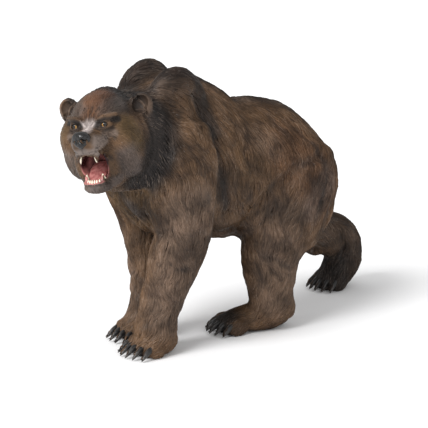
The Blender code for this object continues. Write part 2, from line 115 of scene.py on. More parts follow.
def meshFrom(name, points, faces):
    mesh = bpy.data.meshes.new(name)
    mesh.from_pydata([tuple(point) for point in points], [], faces)
    bm = bmesh.new()
    bm.from_mesh(mesh)
    bmesh.ops.recalc_face_normals(bm, faces=bm.faces)
    bm.to_mesh(mesh)
    bm.free()
    mesh.shade_smooth()
    return mesh


def readPoints(mesh):
    values = np.empty(len(mesh.vertices) * 3)
    mesh.vertices.foreach_get("co", values)
    return values.reshape(-1, 3)


def writePoints(mesh, points):
    mesh.vertices.foreach_set("co", np.ascontiguousarray(points, np.float32).ravel())
    mesh.update()


def readNormals(mesh):
    values = np.empty(len(mesh.vertices) * 3)
    mesh.vertex_normals.foreach_get("vector", values)
    return values.reshape(-1, 3)


def readEdges(mesh):
    values = np.empty(len(mesh.edges) * 2, np.int32)
    mesh.edges.foreach_get("vertices", values)
    return values.reshape(-1, 2)


def storeValues(mesh, name, values, kind="FLOAT", domain="POINT"):
    field = {"FLOAT": "value", "INT": "value", "FLOAT_VECTOR": "vector", "FLOAT_COLOR": "color"}[kind]
    layer = mesh.attributes.get(name) or mesh.attributes.new(name, kind, domain)
    number = np.int32 if kind == "INT" else np.float32
    layer.data.foreach_set(field, np.ascontiguousarray(values, number).ravel())


def readValues(mesh, name):
    layer = mesh.attributes[name]
    values = np.empty(len(layer.data) * 3)
    layer.data.foreach_get("vector", values)
    return values.reshape(-1, 3)


# Keeps a mesh inside the box of the solids. Its sides and top press it in more and more, so that
# layers keep their order and never meet on one plane; the floor cuts it flat.
def keepInBox(mesh, place=np.asarray):
    low, high = place(cadBox[0]), place(cadBox[1])
    unit = (high - low)[0] / (cadBox[1][0] - cadBox[0][0])
    room = boxRoom * mm * unit

    def pressed(inside):
        return np.where(inside < room, room * np.exp((inside - room) / room), inside)

    points = readPoints(mesh)
    points = high - pressed(high - points)
    points[:, :2] = low[:2] + pressed(points[:, :2] - low[:2])
    points[:, 2] = np.maximum(points[:, 2], low[2])
    writePoints(mesh, points)


# Turns a piece's modifiers into a plain mesh
def settle(piece):
    graph = bpy.context.evaluated_depsgraph_get()
    graph.update()
    mesh = bpy.data.meshes.new_from_object(piece.evaluated_get(graph), depsgraph=graph)
    old = piece.data
    piece.modifiers.clear()
    piece.data = mesh
    bpy.data.meshes.remove(old)
    return mesh


def neighbourMeans(values, edges, counts):
    sums = np.empty_like(values)
    for axis in range(values.shape[1]):
        sums[:, axis] = np.bincount(edges[:, 0], values[edges[:, 1], axis], len(values))
        sums[:, axis] += np.bincount(edges[:, 1], values[edges[:, 0], axis], len(values))
    return sums / counts[:, None]


# How far each point is from a line through the path's points
def pathDistance(points, path):
    nearest = np.full(len(points), np.inf)
    for start, end in zip(path, path[1:]):
        start = np.array(start, float)
        run = np.array(end, float) - start
        share = np.clip((points - start) @ run / max(run @ run, 1e-9), 0, 1)
        nearest = np.minimum(nearest, np.linalg.norm(points - start - share[:, None] * run, axis=1))
    return nearest


def finishPiece(piece, material, nodes=()):
    piece.data.materials.clear()
    piece.data.materials.append(material)
    if nodes:
        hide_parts(*nodes)
    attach(piece, "root")
    return piece


# Node trees

def addNode(tree, kind, links=None, **settings):
    node = tree.nodes.new(kind)
    for name, value in settings.items():
        setattr(node, name, value)
    for key, value in (links or {}).items():
        socket = node.inputs[key]
        if isinstance(value, bpy.types.NodeSocket):
            tree.links.new(value, socket)
        else:
            socket.default_value = value
    return node


def newTree(name, kind, inputs, outputs):
    tree = bpy.data.node_groups.new(name, kind)
    for label, socketKind, value in inputs:
        socket = tree.interface.new_socket(label, in_out="INPUT", socket_type=socketKind)
        if value is not None:
            socket.default_value = value
    for label, socketKind in outputs:
        tree.interface.new_socket(label, in_out="OUTPUT", socket_type=socketKind)
    start = tree.nodes.new("NodeGroupInput")
    end = tree.nodes.new("NodeGroupOutput")
    return tree, start.outputs, end.inputs


def runTree(piece, tree, values):
    modifier = piece.modifiers.new(tree.name, "NODES")
    modifier.node_group = tree
    for socket in tree.interface.items_tree:
        if socket.name in values:
            modifier[socket.identifier] = values[socket.name]
    return settle(piece)


# The hide

skinShape = {
    "close": (0.3, 0.36, 0.8),  # grows the head, the paws and the body so that the thin cuts close
    "voxel": 0.3,
    "bodySoftening": 70,  # rounds
    "pawSoftening": 10,
    "headSoftening": 4,
    "bodyInset": 0.5,  # the coat's depth
    "pawInset": 0.15,
    "headInset": 0.1,
    "triangles": 192000,
    "thinning": (0.25, 0.7, 1.0),  # of the head, the paws and the body
    "headMiddle": (-5.0, 0.0, 0.0),  # in the head's frame
    "headReach": (21.0, 27.0),
    "pawHeight": (8.0, 13.0),
    "soleHeight": 2.0,
}

# Lines worked into the face, in the head's frame: path, radius, height, and whether both sides have it
faceLines = {
    "brow": (((-12.9, 2.0, 6.9), (-11.9, 4.6, 8.4), (-9.0, 7.8, 8.8)), 1.6, 1.05, True),
    "brow end": (((-13.4, 1.4, 6.3), (-12.2, 2.8, 7.6)), 1.2, 0.5, True),
    "crease over the eye": (((-13.2, 3.0, 6.4), (-12.6, 5.0, 7.1), (-10.4, 7.8, 7.0)), 0.7, -0.4, True),
    "lower lid": (((-13.4, 3.5, 5.2), (-13.0, 5.0, 4.8), (-11.8, 6.7, 5.2)), 0.55, 0.3, True),
    "eye bag": (((-13.8, 3.3, 4.2), (-13.2, 5.3, 3.6), (-11.4, 7.4, 4.4)), 0.6, -0.3, True),
    "forehead furrow": (((-12.6, 0, 7.6), (-9.5, 0, 10.8), (-5.0, 0, 13.2)), 1.0, -0.55, False),
    "inner furrow": (((-12.9, 1.3, 7.4), (-10.6, 1.6, 10.2), (-8.6, 2.2, 11.6)), 0.6, -0.3, True),
    "forehead pad": (((-10.2, 2.7, 10.3), (-6.2, 3.2, 13.0)), 1.8, 0.4, True),
    "outer furrow": (((-9.8, 4.6, 9.9), (-7.2, 5.6, 11.8)), 0.7, -0.3, True),
    "bridge": (((-19.0, 0, 4.6), (-13.6, 0, 6.6)), 1.2, 0.25, False),
    "snarl 1": (((-17.2, 1.6, 4.6), (-16.6, 3.6, 3.2), (-15.2, 4.9, 1.2)), 0.55, -0.32, True),
    "snarl 2": (((-15.6, 1.9, 5.2), (-15.0, 4.0, 3.9), (-13.4, 5.6, 1.6)), 0.55, -0.32, True),
    "snarl 3": (((-14.2, 2.2, 5.6), (-13.6, 4.6, 3.2), (-11.6, 6.4, 0.8)), 0.55, -0.25, True),
    "snarl fold": (((-16.4, 2.2, 4.6), (-15.8, 4.0, 3.3), (-14.3, 5.2, 1.4)), 0.7, 0.3, True),
    "upper lip": (
        ((-20.0, 0, -2.0), (-18.6, 3.0, -2.6), (-15.2, 4.4, -3.2), (-11.4, 5.0, -4.6), (-8.6, 5.0, -7.4)),
        1.0,
        0.45,
        True,
    ),
    "groove over the lip": (((-20.2, 1.6, -0.6), (-18.4, 4.2, -0.9), (-14.6, 5.6, -1.4)), 0.6, -0.28, True),
    "groove under the nose": (((-21.6, 0, -0.4), (-20.4, 0, -2.2)), 0.55, -0.4, False),
    "lower lip": (
        ((-15.0, 0, -12.4), (-14.0, 3.0, -12.4), (-11.4, 4.4, -11.8), (-8.6, 5.0, -9.6)),
        0.8,
        0.4,
        True,
    ),
    "lip fold": (((-8.4, 6.2, -4.0), (-7.0, 6.8, -8.0), (-8.2, 6.4, -11.4)), 1.0, -0.35, True),
    "cheek": (((-4.6, 8.6, -1.0), (-3.4, 9.2, -7.0)), 3.2, 0.5, True),
    "under the cheekbone": (((-10.6, 7.4, 1.6), (-6.0, 10.2, 1.8)), 1.4, -0.35, True),
    "edge of the face": (
        ((2.6, 9.5, 16.5), (2.8, 14.4, 7), (2.8, 15.6, 1), (2.6, 14.6, -6), (2.2, 11.6, -12.6), (3.4, 7, -17)),
        1.3,
        -0.75,
        True,
    ),
    "ruff": (
        ((5.6, 15.0, 8), (6.2, 16.6, 1), (6.0, 15.8, -7), (6.0, 12.6, -14), (7.4, 7, -19)),
        2.4,
        0.7,
        True,
    ),
    "edge of the crown": (((2.6, -9.5, 16.5), (0.6, -4, 17.6), (0.6, 4, 17.6), (2.6, 9.5, 16.5)), 1.1, -0.45, False),
}


# Folds worked into the body, in the figure
bodyFolds = {
    "haunch crease": (
        ((68, -20.5, 61), (56.5, -21.5, 59), (46.6, -21.7, 55.2), (38.8, -21, 49.4), (35.4, -17, 41)),
        2.8,
        -1.5,
        True,
    ),
    "haunch": (((66, -21.5, 56), (55, -23, 54), (47, -23, 50), (41, -21.5, 44)), 3.6, 0.6, True),
    "fold behind the shoulder": (
        ((16, -14, 88), (17.5, -17, 78), (19, -19.8, 70), (20.8, -20.6, 62), (22.5, -19.6, 53), (25, -17.5, 45)),
        2.6,
        -1.3,
        True,
    ),
    "shoulder": (((9, -15, 85), (6.5, -21, 76), (7, -24.3, 66), (9.5, -24.6, 56)), 4.0, 0.7, True),
    "fold before the shoulder": (((0, -19, 84), (-2, -20, 74), (-2, -19, 64), (0, -19, 54)), 2.2, -0.9, True),
    "fold of the hump": (((14, -10, 92), (8, -14, 84), (3, -17, 76)), 2.0, -0.8, True),
    "elbow": (((-1, -17, 33), (3.4, -18.6, 30.5), (9, -18.2, 31)), 1.6, -0.4, True),
    "knee": (((39, -18, 31), (44.4, -21.8, 27.5), (51, -22.4, 24)), 1.8, -0.5, True),
    "hock": (((60, -17, 26), (61, -18, 16), (60, -17, 8)), 1.8, -0.4, True),
    "flank": (((33, -21, 68), (36, -22, 58), (33, -20.5, 48)), 2.6, -0.9, True),
    "flank and hip": (((46, -15, 78), (50, -19.5, 70), (47, -22, 62)), 2.6, -0.7, True),
    "hip": (((60, -14, 74), (66, -18, 66), (70, -20, 58)), 3.0, -0.6, True),
    "back of the thigh": (((72, -21.5, 56), (66, -23, 46), (60, -22.5, 36)), 2.2, -0.9, True),
    "chest": (((-7, 0, 60), (-6, -1, 50), (-1, 0, 42)), 2.2, -0.5, False),
}

# Clumps that the moulded fur stands in: long lumps, parted by sharp folds
clumpShape = {
    "sway": (1.6, 0.24),  # millimetres, and turns a millimetre
    "layers": ((0.13, 0.035, 1.6), (0.3, 0.07, 0.35)),  # lumps a millimetre across and along, height
    "flatTop": 0.7,  # how much of it the back and the hump lose
    "level": 0.2,
    "body": (0.3, 0.0, -1.0),  # the way they run
    "haunch": (-0.6, 0.0, -1.0),
    "haunchMiddle": (60.0, 38.0),
    "haunchReach": (22.0, 32.0),
}


def headShare(points):
    near, far = skinShape["headReach"]
    distance = np.linalg.norm(toHead(points) - np.array(skinShape["headMiddle"]), axis=1)
    return easeIn((far - distance) / (far - near))


def pawShare(points):
    low, high = skinShape["pawHeight"]
    return easeIn((high - points[:, 2]) / (high - low))


def closing(points):
    head, paws = headShare(points), pawShare(points)
    headClose, pawClose, bodyClose = skinShape["close"]
    return bodyClose * (1 - head) * (1 - paws) + pawClose * paws + headClose * head


def bothSides(path, both):
    yield path
    if both:
        yield [(x, -y, z) for x, y, z in path]


def joinFlesh(nodes):
    whole = bmesh.new()
    for name in nodes:
        part = bmesh.new()
        part.from_mesh(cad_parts[name].data)
        bmesh.ops.remove_doubles(part, verts=part.verts, dist=1e-6)
        merged = bpy.data.meshes.new(name)
        part.to_mesh(merged)
        part.free()
        whole.from_mesh(merged)
        bpy.data.meshes.remove(merged)
    mesh = bpy.data.meshes.new("skin")
    whole.to_mesh(mesh)
    whole.free()
    writePoints(mesh, toFigure(readPoints(mesh)))
    return mesh


# Drops the scraps that the thin cuts leave inside the hide
def keepLargest(mesh):
    edges = readEdges(mesh)
    labels = np.arange(len(mesh.vertices))
    while True:
        lowest = np.minimum(labels[edges[:, 0]], labels[edges[:, 1]])
        before = labels.copy()
        np.minimum.at(labels, edges[:, 0], lowest)
        np.minimum.at(labels, edges[:, 1], lowest)
        labels = labels[labels]
        if (labels == before).all():
            break
    names, sizes = np.unique(labels, return_counts=True)
    scraps = np.flatnonzero(labels != names[sizes.argmax()])
    if len(scraps):
        bm = bmesh.new()
        bm.from_mesh(mesh)
        bm.verts.ensure_lookup_table()
        bmesh.ops.delete(bm, geom=[bm.verts[i] for i in scraps], context="VERTS")
        bm.to_mesh(mesh)
        bm.free()


def soften(mesh):
    points = readPoints(mesh)
    edges = readEdges(mesh)
    counts = np.maximum(np.bincount(edges.ravel(), minlength=len(points)), 1)
    head = headShare(points)
    paws = pawShare(points)
    rounds = skinShape["bodySoftening"] * (1 - head) * (1 - paws)
    rounds += skinShape["pawSoftening"] * paws + skinShape["headSoftening"] * head
    for step in range(skinShape["bodySoftening"]):
        moving = np.clip(rounds - step, 0, 1)[:, None] * 0.5
        points += moving * (neighbourMeans(points, edges, counts) - points)
    writePoints(mesh, points)


def worked(points, lines):
    push = np.zeros(len(points))
    for path, radius, height, both in lines.values():
        for side in bothSides(path, both):
            push += height * easeIn(1 - pathDistance(points, side) / radius)
    return push


# How deep each point lies in the folds, from 0 to 1
def foldShade(points, lines):
    grooves = {name: (path, radius, 1.0, both) for name, (path, radius, height, both) in lines.items() if height < 0}
    return np.minimum(worked(points, grooves), 1.0)


def clumpsAlong(points, down):
    down = np.array(down) / np.linalg.norm(down)
    along = points @ down
    total = np.zeros(len(points))
    for across, lengthwise, height in clumpShape["layers"]:
        spots = points * across - np.outer(along, down) * (across - lengthwise)
        lumps = np.array([abs(noise.noise(spot)) for spot in spots.tolist()])
        total += height * (lumps - clumpShape["level"])
    return total


def clumps(points):
    shape = clumpShape
    reach, turns = shape["sway"]
    swayed = points + reach * np.sin(points[:, [2, 2, 1]] * turns * 2 + points[:, [1, 0, 0]] * turns)
    near, far = shape["haunchReach"]
    distance = np.linalg.norm(points[:, [0, 2]] - np.array(shape["haunchMiddle"]), axis=1)
    haunch = easeIn((far - distance) / (far - near))
    return clumpsAlong(swayed, shape["body"]) * (1 - haunch) + clumpsAlong(swayed, shape["haunch"]) * haunch


def workRelief(mesh):
    points = readPoints(mesh)
    normals = readNormals(mesh)
    head = headShare(points)
    body = (1 - head) * (1 - pawShare(points))
    push = worked(toHead(points), faceLines) + worked(points, bodyFolds)
    upward = easeIn((normals[:, 2] - 0.2) * 2)
    push += clumps(points) * (0.08 + 0.92 * body) * (1 - clumpShape["flatTop"] * upward)
    writePoints(mesh, points + normals * push[:, None])


def sinkUnderCoat(mesh):
    points = readPoints(mesh)
    head = headShare(points)
    paws = pawShare(points)
    depth = skinShape["bodyInset"] * (1 - head) * (1 - paws)
    depth += skinShape["pawInset"] * paws + skinShape["headInset"] * head
    points -= readNormals(mesh) * (closing(points) + depth)[:, None]
    floor = toFigure([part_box("forepaw_left")[0]])[0][2]
    lowest = points[:, 2].min()
    reach = skinShape["soleHeight"]
    points[:, 2] -= (lowest - floor) * easeIn((lowest + reach - points[:, 2]) / reach)
    points[:, 2] = np.maximum(points[:, 2], floor)
    writePoints(mesh, points)


def thinOut(piece):
    points = readPoints(piece.data)
    head, paws, body = skinShape["thinning"]
    share = headShare(points)
    weight = body + (paws - body) * pawShare(points)
    weight += (head - weight) * share
    levels = np.round(weight, 1)
    group = piece.vertex_groups.new(name="plain")
    for level in np.unique(levels):
        group.add(np.flatnonzero(levels == level).tolist(), float(level), "REPLACE")
    thin = piece.modifiers.new("thin", "DECIMATE")
    thin.ratio = skinShape["triangles"] / (2 * len(piece.data.polygons))
    thin.vertex_group = group.name
    thin.use_collapse_triangulate = True
    settle(piece)
    piece.vertex_groups.clear()


def makeSkin():
    nodes = [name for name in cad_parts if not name.startswith(("eye_", "tongue"))]
    skin = newObject("skin", joinFlesh(nodes))
    points = readPoints(skin.data)
    writePoints(skin.data, points + readNormals(skin.data) * closing(points)[:, None])
    remesh = skin.modifiers.new("fuse", "REMESH")
    remesh.mode = "VOXEL"
    remesh.voxel_size = skinShape["voxel"]
    settle(skin)
    keepLargest(skin.data)
    print("skin fused", len(skin.data.vertices))
    soften(skin.data)
    workRelief(skin.data)
    sinkUnderCoat(skin.data)
    thinOut(skin)
    keepInBox(skin.data, toFigure)
    print("skin thinned", len(skin.data.polygons))
    return skin


# Paint, as linear colours, and where it is brushed on, some strokes being painted highlight and painted shade:
# place, path, radius, colour, strength

colours = {
    "brown": (0.094, 0.053, 0.028),
    "tan": (0.116, 0.076, 0.053),
    "olive": (0.088, 0.054, 0.021),
    "rust": (0.108, 0.047, 0.024),
    "charcoal": (0.017, 0.014, 0.013),
    "umber": (0.034, 0.021, 0.015),
    "grey": (0.080, 0.064, 0.058),
    "pale": (0.155, 0.125, 0.110),
    # near white: pale paint brightened into a painted highlight on the bridge of the muzzle
    "bridgeHighlight": (0.440, 0.380, 0.360),
    "dark red": (0.030, 0.006, 0.006),
    # pink flesh, painted brighter than its own colour as painted light in the shaded throat
    "litFlesh": (0.520, 0.210, 0.195),
    "soot": (0.010, 0.009, 0.009),
}

brushStrokes = (
    ("figure", ((4, 0, 60), (30, 0, 58)), 24, "olive", 0.5),
    ("figure", ((56, -18, 62), (66, -20, 50)), 17, "rust", 0.35),
    ("figure", ((36, -20, 76), (46, -20, 68)), 9, "tan", 0.5),
    ("figure", ((4, -24, 50), (2, -18, 16)), 15, "tan", 0.95),
    ("figure", ((16, 22, 46), (14, 16, 12)), 14, "tan", 0.9),
    ("figure", ((48, -22, 40), (48, -20, 14)), 13, "tan", 0.7),
    ("figure", ((60, -23, 44), (70, -20, 52)), 8, "grey", 0.5),
    ("figure", ((-16, -8, 88), (8, -9, 99), (20, -6, 96)), 11, "charcoal", 0.95),
    ("figure", ((-8, 6, 92), (12, 9, 99), (28, 6, 94)), 13, "charcoal", 0.9),
    # Tan on the near ridge of the hump: dry-brush paint, lightened as a painted highlight where the ridge takes the
    # light
    ("figure", ((4, -11, 91), (10, -12, 90)), 4.5, "tan", 0.5),
    # Charcoal from the top of the hump down the folds behind it: the back's dark paint, carried down the folds as
    # painted shade
    ("figure", ((20, -8, 94), (18.5, -14, 84), (19, -18, 76)), 5.5, "charcoal", 0.85),
    ("figure", ((20, 8, 94), (18.5, 14, 84), (19, 18, 76)), 5.5, "charcoal", 0.85),
    ("figure", ((20, 0, 97), (44, 0, 84), (66, 0, 80), (86, 0, 64)), 9, "charcoal", 0.75),
    ("figure", ((-10, -16, 64), (-5, -20, 74), (-2, -18, 86)), 10, "charcoal", 0.95),
    ("figure", ((-10, 16, 64), (-5, 20, 74), (-2, 18, 86)), 10, "charcoal", 0.95),
    # Umber in the fold behind the near shoulder: painted shade
    ("figure", ((20, -21, 60), (23, -20, 50)), 5, "umber", 0.7),
    ("figure", ((-12, -2, 56), (-9, 4, 58)), 7, "charcoal", 0.7),
    ("figure", ((-4, -3, 52), (-2, -5, 46)), 4, "grey", 0.7),
    ("figure", ((28, -10, 36), (60, -10, 36)), 9, "umber", 0.6),
    ("figure", ((84, 14, 34), (112, 14, 22), (112, 10, 2)), 19, "charcoal", 0.6),
    ("figure", ((110, 12, 12), (104, 10, 2)), 10, "charcoal", 0.9),
    ("figure", ((22, 8, 44), (18, 4, 14)), 8, "umber", 0.6),
    ("figure", ((-12, -8, -1), (-4, -8, -1)), 5.0, "soot", 0.9),
    ("figure", ((-4, 9, -1), (4, 9, -1)), 5.0, "soot", 0.9),
    ("figure", ((28, -2, 2), (36, -6, 3)), 9.0, "soot", 0.9),
    ("figure", ((40, -8, 0), (62, -14, 0)), 5.5, "charcoal", 0.7),
    ("head", ((2, 0, 18), (9, -13, 8), (9, -15, -6), (4, -9, -18)), 7, "charcoal", 0.95),
    ("head", ((2, 0, 18), (9, 13, 8), (9, 15, -6), (4, 9, -18)), 7, "charcoal", 0.95),
    ("head", ((3, -11, 15.5), (-1.0, -5, 18), (-1.0, 5, 18), (3, 11, 15.5)), 3.6, "charcoal", 0.95),
    ("head", ((-1, 9, -20), (5, 0, -22), (-1, -9, -20)), 6.5, "charcoal", 0.85),
    ("head", ((-9, 0, 12), (-4, 0, 16)), 8, "rust", 0.65),
    ("head", ((-9, -5, 11), (-4, -8, 13)), 4.5, "pale", 0.35),
    ("head", ((-9, 5, 11), (-4, 8, 13)), 4.5, "pale", 0.45),
    ("head", ((-6, -10, 4), (-4, -11, 0)), 6, "olive", 0.8),
    ("head", ((-6, 10, 4), (-4, 11, 0)), 6, "olive", 0.6),
    ("head", ((-6, -9, -4), (-4, -10, -10)), 6, "grey", 0.75),
    ("head", ((-6, 9, -4), (-4, 10, -10)), 6, "pale", 0.5),
    ("head", ((-13.2, -2.6, 6.4), (-11.8, -4.9, 7.6), (-8.6, -8.4, 7.4)), 1.7, "charcoal", 0.95),
    ("head", ((-13.2, 2.6, 6.4), (-11.8, 4.9, 7.6), (-8.6, 8.4, 7.4)), 1.7, "charcoal", 0.95),
    ("head", ((-13.6, -3.0, 5.4), (-12.4, -5, 4.6), (-10.8, -7.2, 4.8)), 1.2, "charcoal", 0.7),
    ("head", ((-13.6, 3.0, 5.4), (-12.4, 5, 4.6), (-10.8, 7.2, 4.8)), 1.2, "charcoal", 0.7),
    ("head", ((-13.4, -4.4, 2.6), (-11.2, -7.6, 3.0)), 2.0, "pale", 0.5),
    ("head", ((-13.4, 4.4, 2.6), (-11.2, 7.6, 3.0)), 2.0, "pale", 0.5),
    ("head", ((-18.4, -4, 1.0), (-14, -5.8, 0.4)), 3.4, "pale", 0.8),
    ("head", ((-18.4, 4, 1.0), (-14, 5.8, 0.4)), 3.4, "pale", 0.8),
    # The bridge of the muzzle: pale paint, brightened into a painted highlight
    ("head", ((-18.6, 0, 5.2), (-15.4, 0, 6.4), (-13.4, 0, 7.2)), 3.2, "bridgeHighlight", 1.0),
    ("head", ((-14.4, -6.6, -0.6), (-12.0, -7.6, -5.0)), 2.4, "umber", 0.6),
    ("head", ((-14.4, 6.6, -0.6), (-12.0, 7.6, -5.0)), 2.4, "umber", 0.6),
    ("head", ((-20.4, 0, -1.4), (-18.4, -3.4, -2.0), (-15, -4.8, -2.6)), 2.2, "pale", 0.9),
    ("head", ((-20.4, 0, -1.4), (-18.4, 3.4, -2.0), (-15, 4.8, -2.6)), 2.2, "pale", 0.9),
    ("head", ((-11, -5.4, -4.6), (-8.2, -5.6, -8)), 1.4, "charcoal", 0.6),
    ("head", ((-11, 5.4, -4.6), (-8.2, 5.6, -8)), 1.4, "charcoal", 0.6),
    ("head", ((-15.4, 0, -14), (-12, -4.4, -14), (-6, -6, -12)), 3.0, "grey", 0.8),
    ("head", ((-15.4, 0, -14), (-12, 4.4, -14), (-6, 6, -12)), 3.0, "grey", 0.8),
    ("head", ((0.5, -12.5, 12), (2, -14.5, 10.5)), 4.6, "tan", 0.8),
    ("head", ((0.5, 12.5, 12), (2, 14.5, 10.5)), 4.6, "tan", 0.8),
)

# The hollows of the mouth and the ears; only what faces the mouth's axis is painted inside
mouthPaint = {
    "middle": (-12.8, 0.0, -7.6),
    "radii": (11.4, 5.9, 5.7),
    "tilt": -10,
    "axis": ((-17.5, 0.0, -7.0), (-6.0, 0.0, -8.4)),
    "palate": -6.4,
    "throat": -9.0,
}

earPaint = {"middle": (1.6, 12.8, 11.3), "radii": (3.1, 3.2, 3.8), "ahead": 2.2}


def insideBall(inHead, middle, radii, tilt=0):
    turn = np.array(Euler((0, math.radians(tilt), 0)).to_matrix())
    return np.linalg.norm(((inHead - np.array(middle)) @ turn) / np.array(radii), axis=1)


def mouthDepth(inHead):
    return insideBall(inHead, mouthPaint["middle"], mouthPaint["radii"], mouthPaint["tilt"])


def earDepth(inHead):
    x, y, z = earPaint["middle"]
    left = insideBall(inHead, (x, -y, z), earPaint["radii"])
    right = insideBall(inHead, (x, y, z), earPaint["radii"])
    return np.minimum(left, right)


def blended(paint, colour, share):
    return paint + (np.array(colours[colour]) - paint) * share[:, None]


def paintAt(points):
    inHead = toHead(points)
    paint = np.tile(np.array(colours["brown"]), (len(points), 1))
    for place, path, radius, colour, strength in brushStrokes:
        where = inHead if place == "head" else points
        paint = blended(paint, colour, strength * easeIn((1 - pathDistance(where, path) / radius) * 1.6))
    body = (1 - headShare(points)) * (1 - pawShare(points))
    lumps = clumps(points)
    # Painted shade: umber in the lows between the clumps; painted highlight: tan on their tops
    paint = blended(paint, "umber", body * 0.6 * easeIn((0.0 - lumps) * 3.0))
    paint = blended(paint, "tan", body * 0.2 * easeIn((lumps - 0.15) * 3.0))
    # Painted shade: charcoal in the body's folds and in the grooves of the face
    paint = blended(paint, "charcoal", foldShade(points, bodyFolds) * 0.75)
    return blended(paint, "charcoal", foldShade(inHead, faceLines) * 0.45)


# How much a surface faces a point
def facing(points, normals, aim):
    toAim = aim - points
    toAim /= np.maximum(np.linalg.norm(toAim, axis=1), 1e-9)[:, None]
    return easeIn((np.einsum("ij,ij->i", normals, toAim) + 0.25) / 0.4)


def mouthShare(inHead, normals):
    start, end = (np.array(point) for point in mouthPaint["axis"])
    run = end - start
    along = np.clip((inHead - start) @ run / (run @ run), 0, 1)
    inside = facing(inHead, normals, start + along[:, None] * run)
    return inside * easeIn((1.0 - mouthDepth(inHead)) * 10)


def earShare(inHead, normals):
    x, y, z = earPaint["middle"]
    aim = np.column_stack([
        np.full(len(inHead), x - earPaint["ahead"]),
        y * np.sign(inHead[:, 1]),
        np.full(len(inHead), z),
    ])
    return facing(inHead, normals, aim) * easeIn((1.0 - earDepth(inHead)) * 4)


def paintHollows(paint, inHead, mouth, ear):
    # Inside the ears: dark paint, darker the deeper it lies in the hollow, as painted shade
    deep = easeIn((13.4 - np.abs(inHead[:, 1])) / 1.6)
    paint = blended(paint, "soot", ear * (0.15 + 0.8 * deep))
    paint = blended(paint, "dark red", mouth)
    # The lower and back walls of the mouth: pink flesh, painted brighter than its own colour as painted light where
    # the throat lies in shade
    low = easeIn((mouthPaint["palate"] - inHead[:, 2]) / 2.6)
    back = easeIn((inHead[:, 0] - mouthPaint["throat"]) / 2.6)
    return blended(paint, "litFlesh", mouth * 0.9 * np.maximum(low, back))


def storePaint(mesh, paint):
    storeValues(mesh, "paint", np.column_stack([paint, np.ones(len(paint))]), "FLOAT_COLOR")


# High where the surface stands proud, low in its creases
def crestOf(mesh):
    points = readPoints(mesh)
    edges = readEdges(mesh)
    counts = np.maximum(np.bincount(edges.ravel(), minlength=len(points)), 1)
    soft = points
    for _ in range(3):
        soft = neighbourMeans(soft, edges, counts)
    proud = np.einsum("ij,ij->i", points - soft, readNormals(mesh))
    return np.clip(0.35 + proud * 7.0, 0, 1)


def paintSkin(skin):
    points = readPoints(skin.data)
    inHead = toHead(points)
    normals = readNormals(skin.data) @ headAxes
    mouth = mouthShare(inHead, normals)
    ear = earShare(inHead, normals)
    storePaint(skin.data, paintHollows(paintAt(points), inHead, mouth, ear))
    storeValues(skin.data, "crest", crestOf(skin.data))
    storeValues(skin.data, "streak", np.full(len(points), 0.5))
    storeValues(skin.data, "wet", mouth)
    bare = np.maximum(easeIn(mouth * 3), easeIn(ear * 3))
    nose = np.linalg.norm((inHead - np.array((-21.0, 0, 1.6))) / np.array((3.4, 3.9, 3.9)), axis=1)
    bare = np.maximum(bare, easeIn((1.1 - nose) * 6))
    for side in (-1, 1):
        eye = np.linalg.norm(inHead - np.array((-12.4, 4.9 * side, 6.0)), axis=1)
        bare = np.maximum(bare, easeIn((2.3 - eye) * 2))
    floor = points[:, 2].min()
    bare = np.maximum(bare, easeIn((floor + 1.6 - points[:, 2]) * 2))
    fine = np.maximum(headShare(points), pawShare(points))
    storeValues(skin.data, "coarseCover", (1 - bare) * (1 - fine))
    storeValues(skin.data, "fineCover", (1 - bare) * easeIn(fine * 1.4))
    writePoints(skin.data, toWorld(points))
    skin.data.shade_smooth()
    print("skin painted")


# The coat: flat moulded locks, laid along the lie of the fur

coatShape = {
    "coarse": {"spacing": 0.98, "ridges": 2, "sections": 6},
    "fine": {"spacing": 0.72, "ridges": 1, "sections": 5},
    "bends": ((-0.3, 0.22), (-0.12, -0.26), (0.05, 0.3), (0.15, -0.22), (0.32, 0.16)),  # bend and sway
    "sunk": 0.45,  # share of the height that a lock's edges are sunk
    # valley: the crest in the furrows between a lock's ridges, where the paint darkens as painted shade
    "valley": 0.3,
    "size": (9.6, 1.12, 0.44),  # length, width and height on the body
    "faceSize": (2.4, 0.55, 0.12),
    "pawSize": (3.8, 0.8, 0.28),
    "waver": 0.45,  # radians
    "stray": 0.08,
    "patch": 0.003,  # across a lock on its map
    "seed": 11,
}

# Where locks differ from the body's: place, path, radius, length, width and height
coatZones = (
    ("head", ((4, 0, 17), (10, -15, 6), (8, -16, -8), (3, -9, -19)), 7, (8.5, 0.95, 0.5)),
    ("head", ((4, 0, 17), (10, 15, 6), (8, 16, -8), (3, 9, -19)), 7, (8.5, 0.95, 0.5)),
    ("head", ((-2, -11, -4), (-2, -9, -13)), 6, (3.4, 0.65, 0.2)),
    ("head", ((-2, 11, -4), (-2, 9, -13)), 6, (3.4, 0.65, 0.2)),
    ("head", ((-20, 0, 3), (-12, 0, 5)), 6, (1.2, 0.45, 0.08)),
    ("figure", ((12, -24, 42), (12, -20, 34)), 8, (9.0, 1.3, 0.6)),
    ("figure", ((14, 0, 36), (60, 0, 34)), 12, (9.5, 1.3, 0.55)),
    ("figure", ((2, -14, 28), (2, -12, 12)), 9, (6.2, 0.95, 0.36)),
    ("figure", ((14, 14, 28), (14, 12, 12)), 9, (6.2, 0.95, 0.36)),
    ("figure", ((52, -16, 26), (54, -14, 12)), 9, (6.2, 0.95, 0.36)),
    ("figure", ((104, 12, 24), (112, 10, 12)), 9, (5.6, 0.95, 0.36)),
)

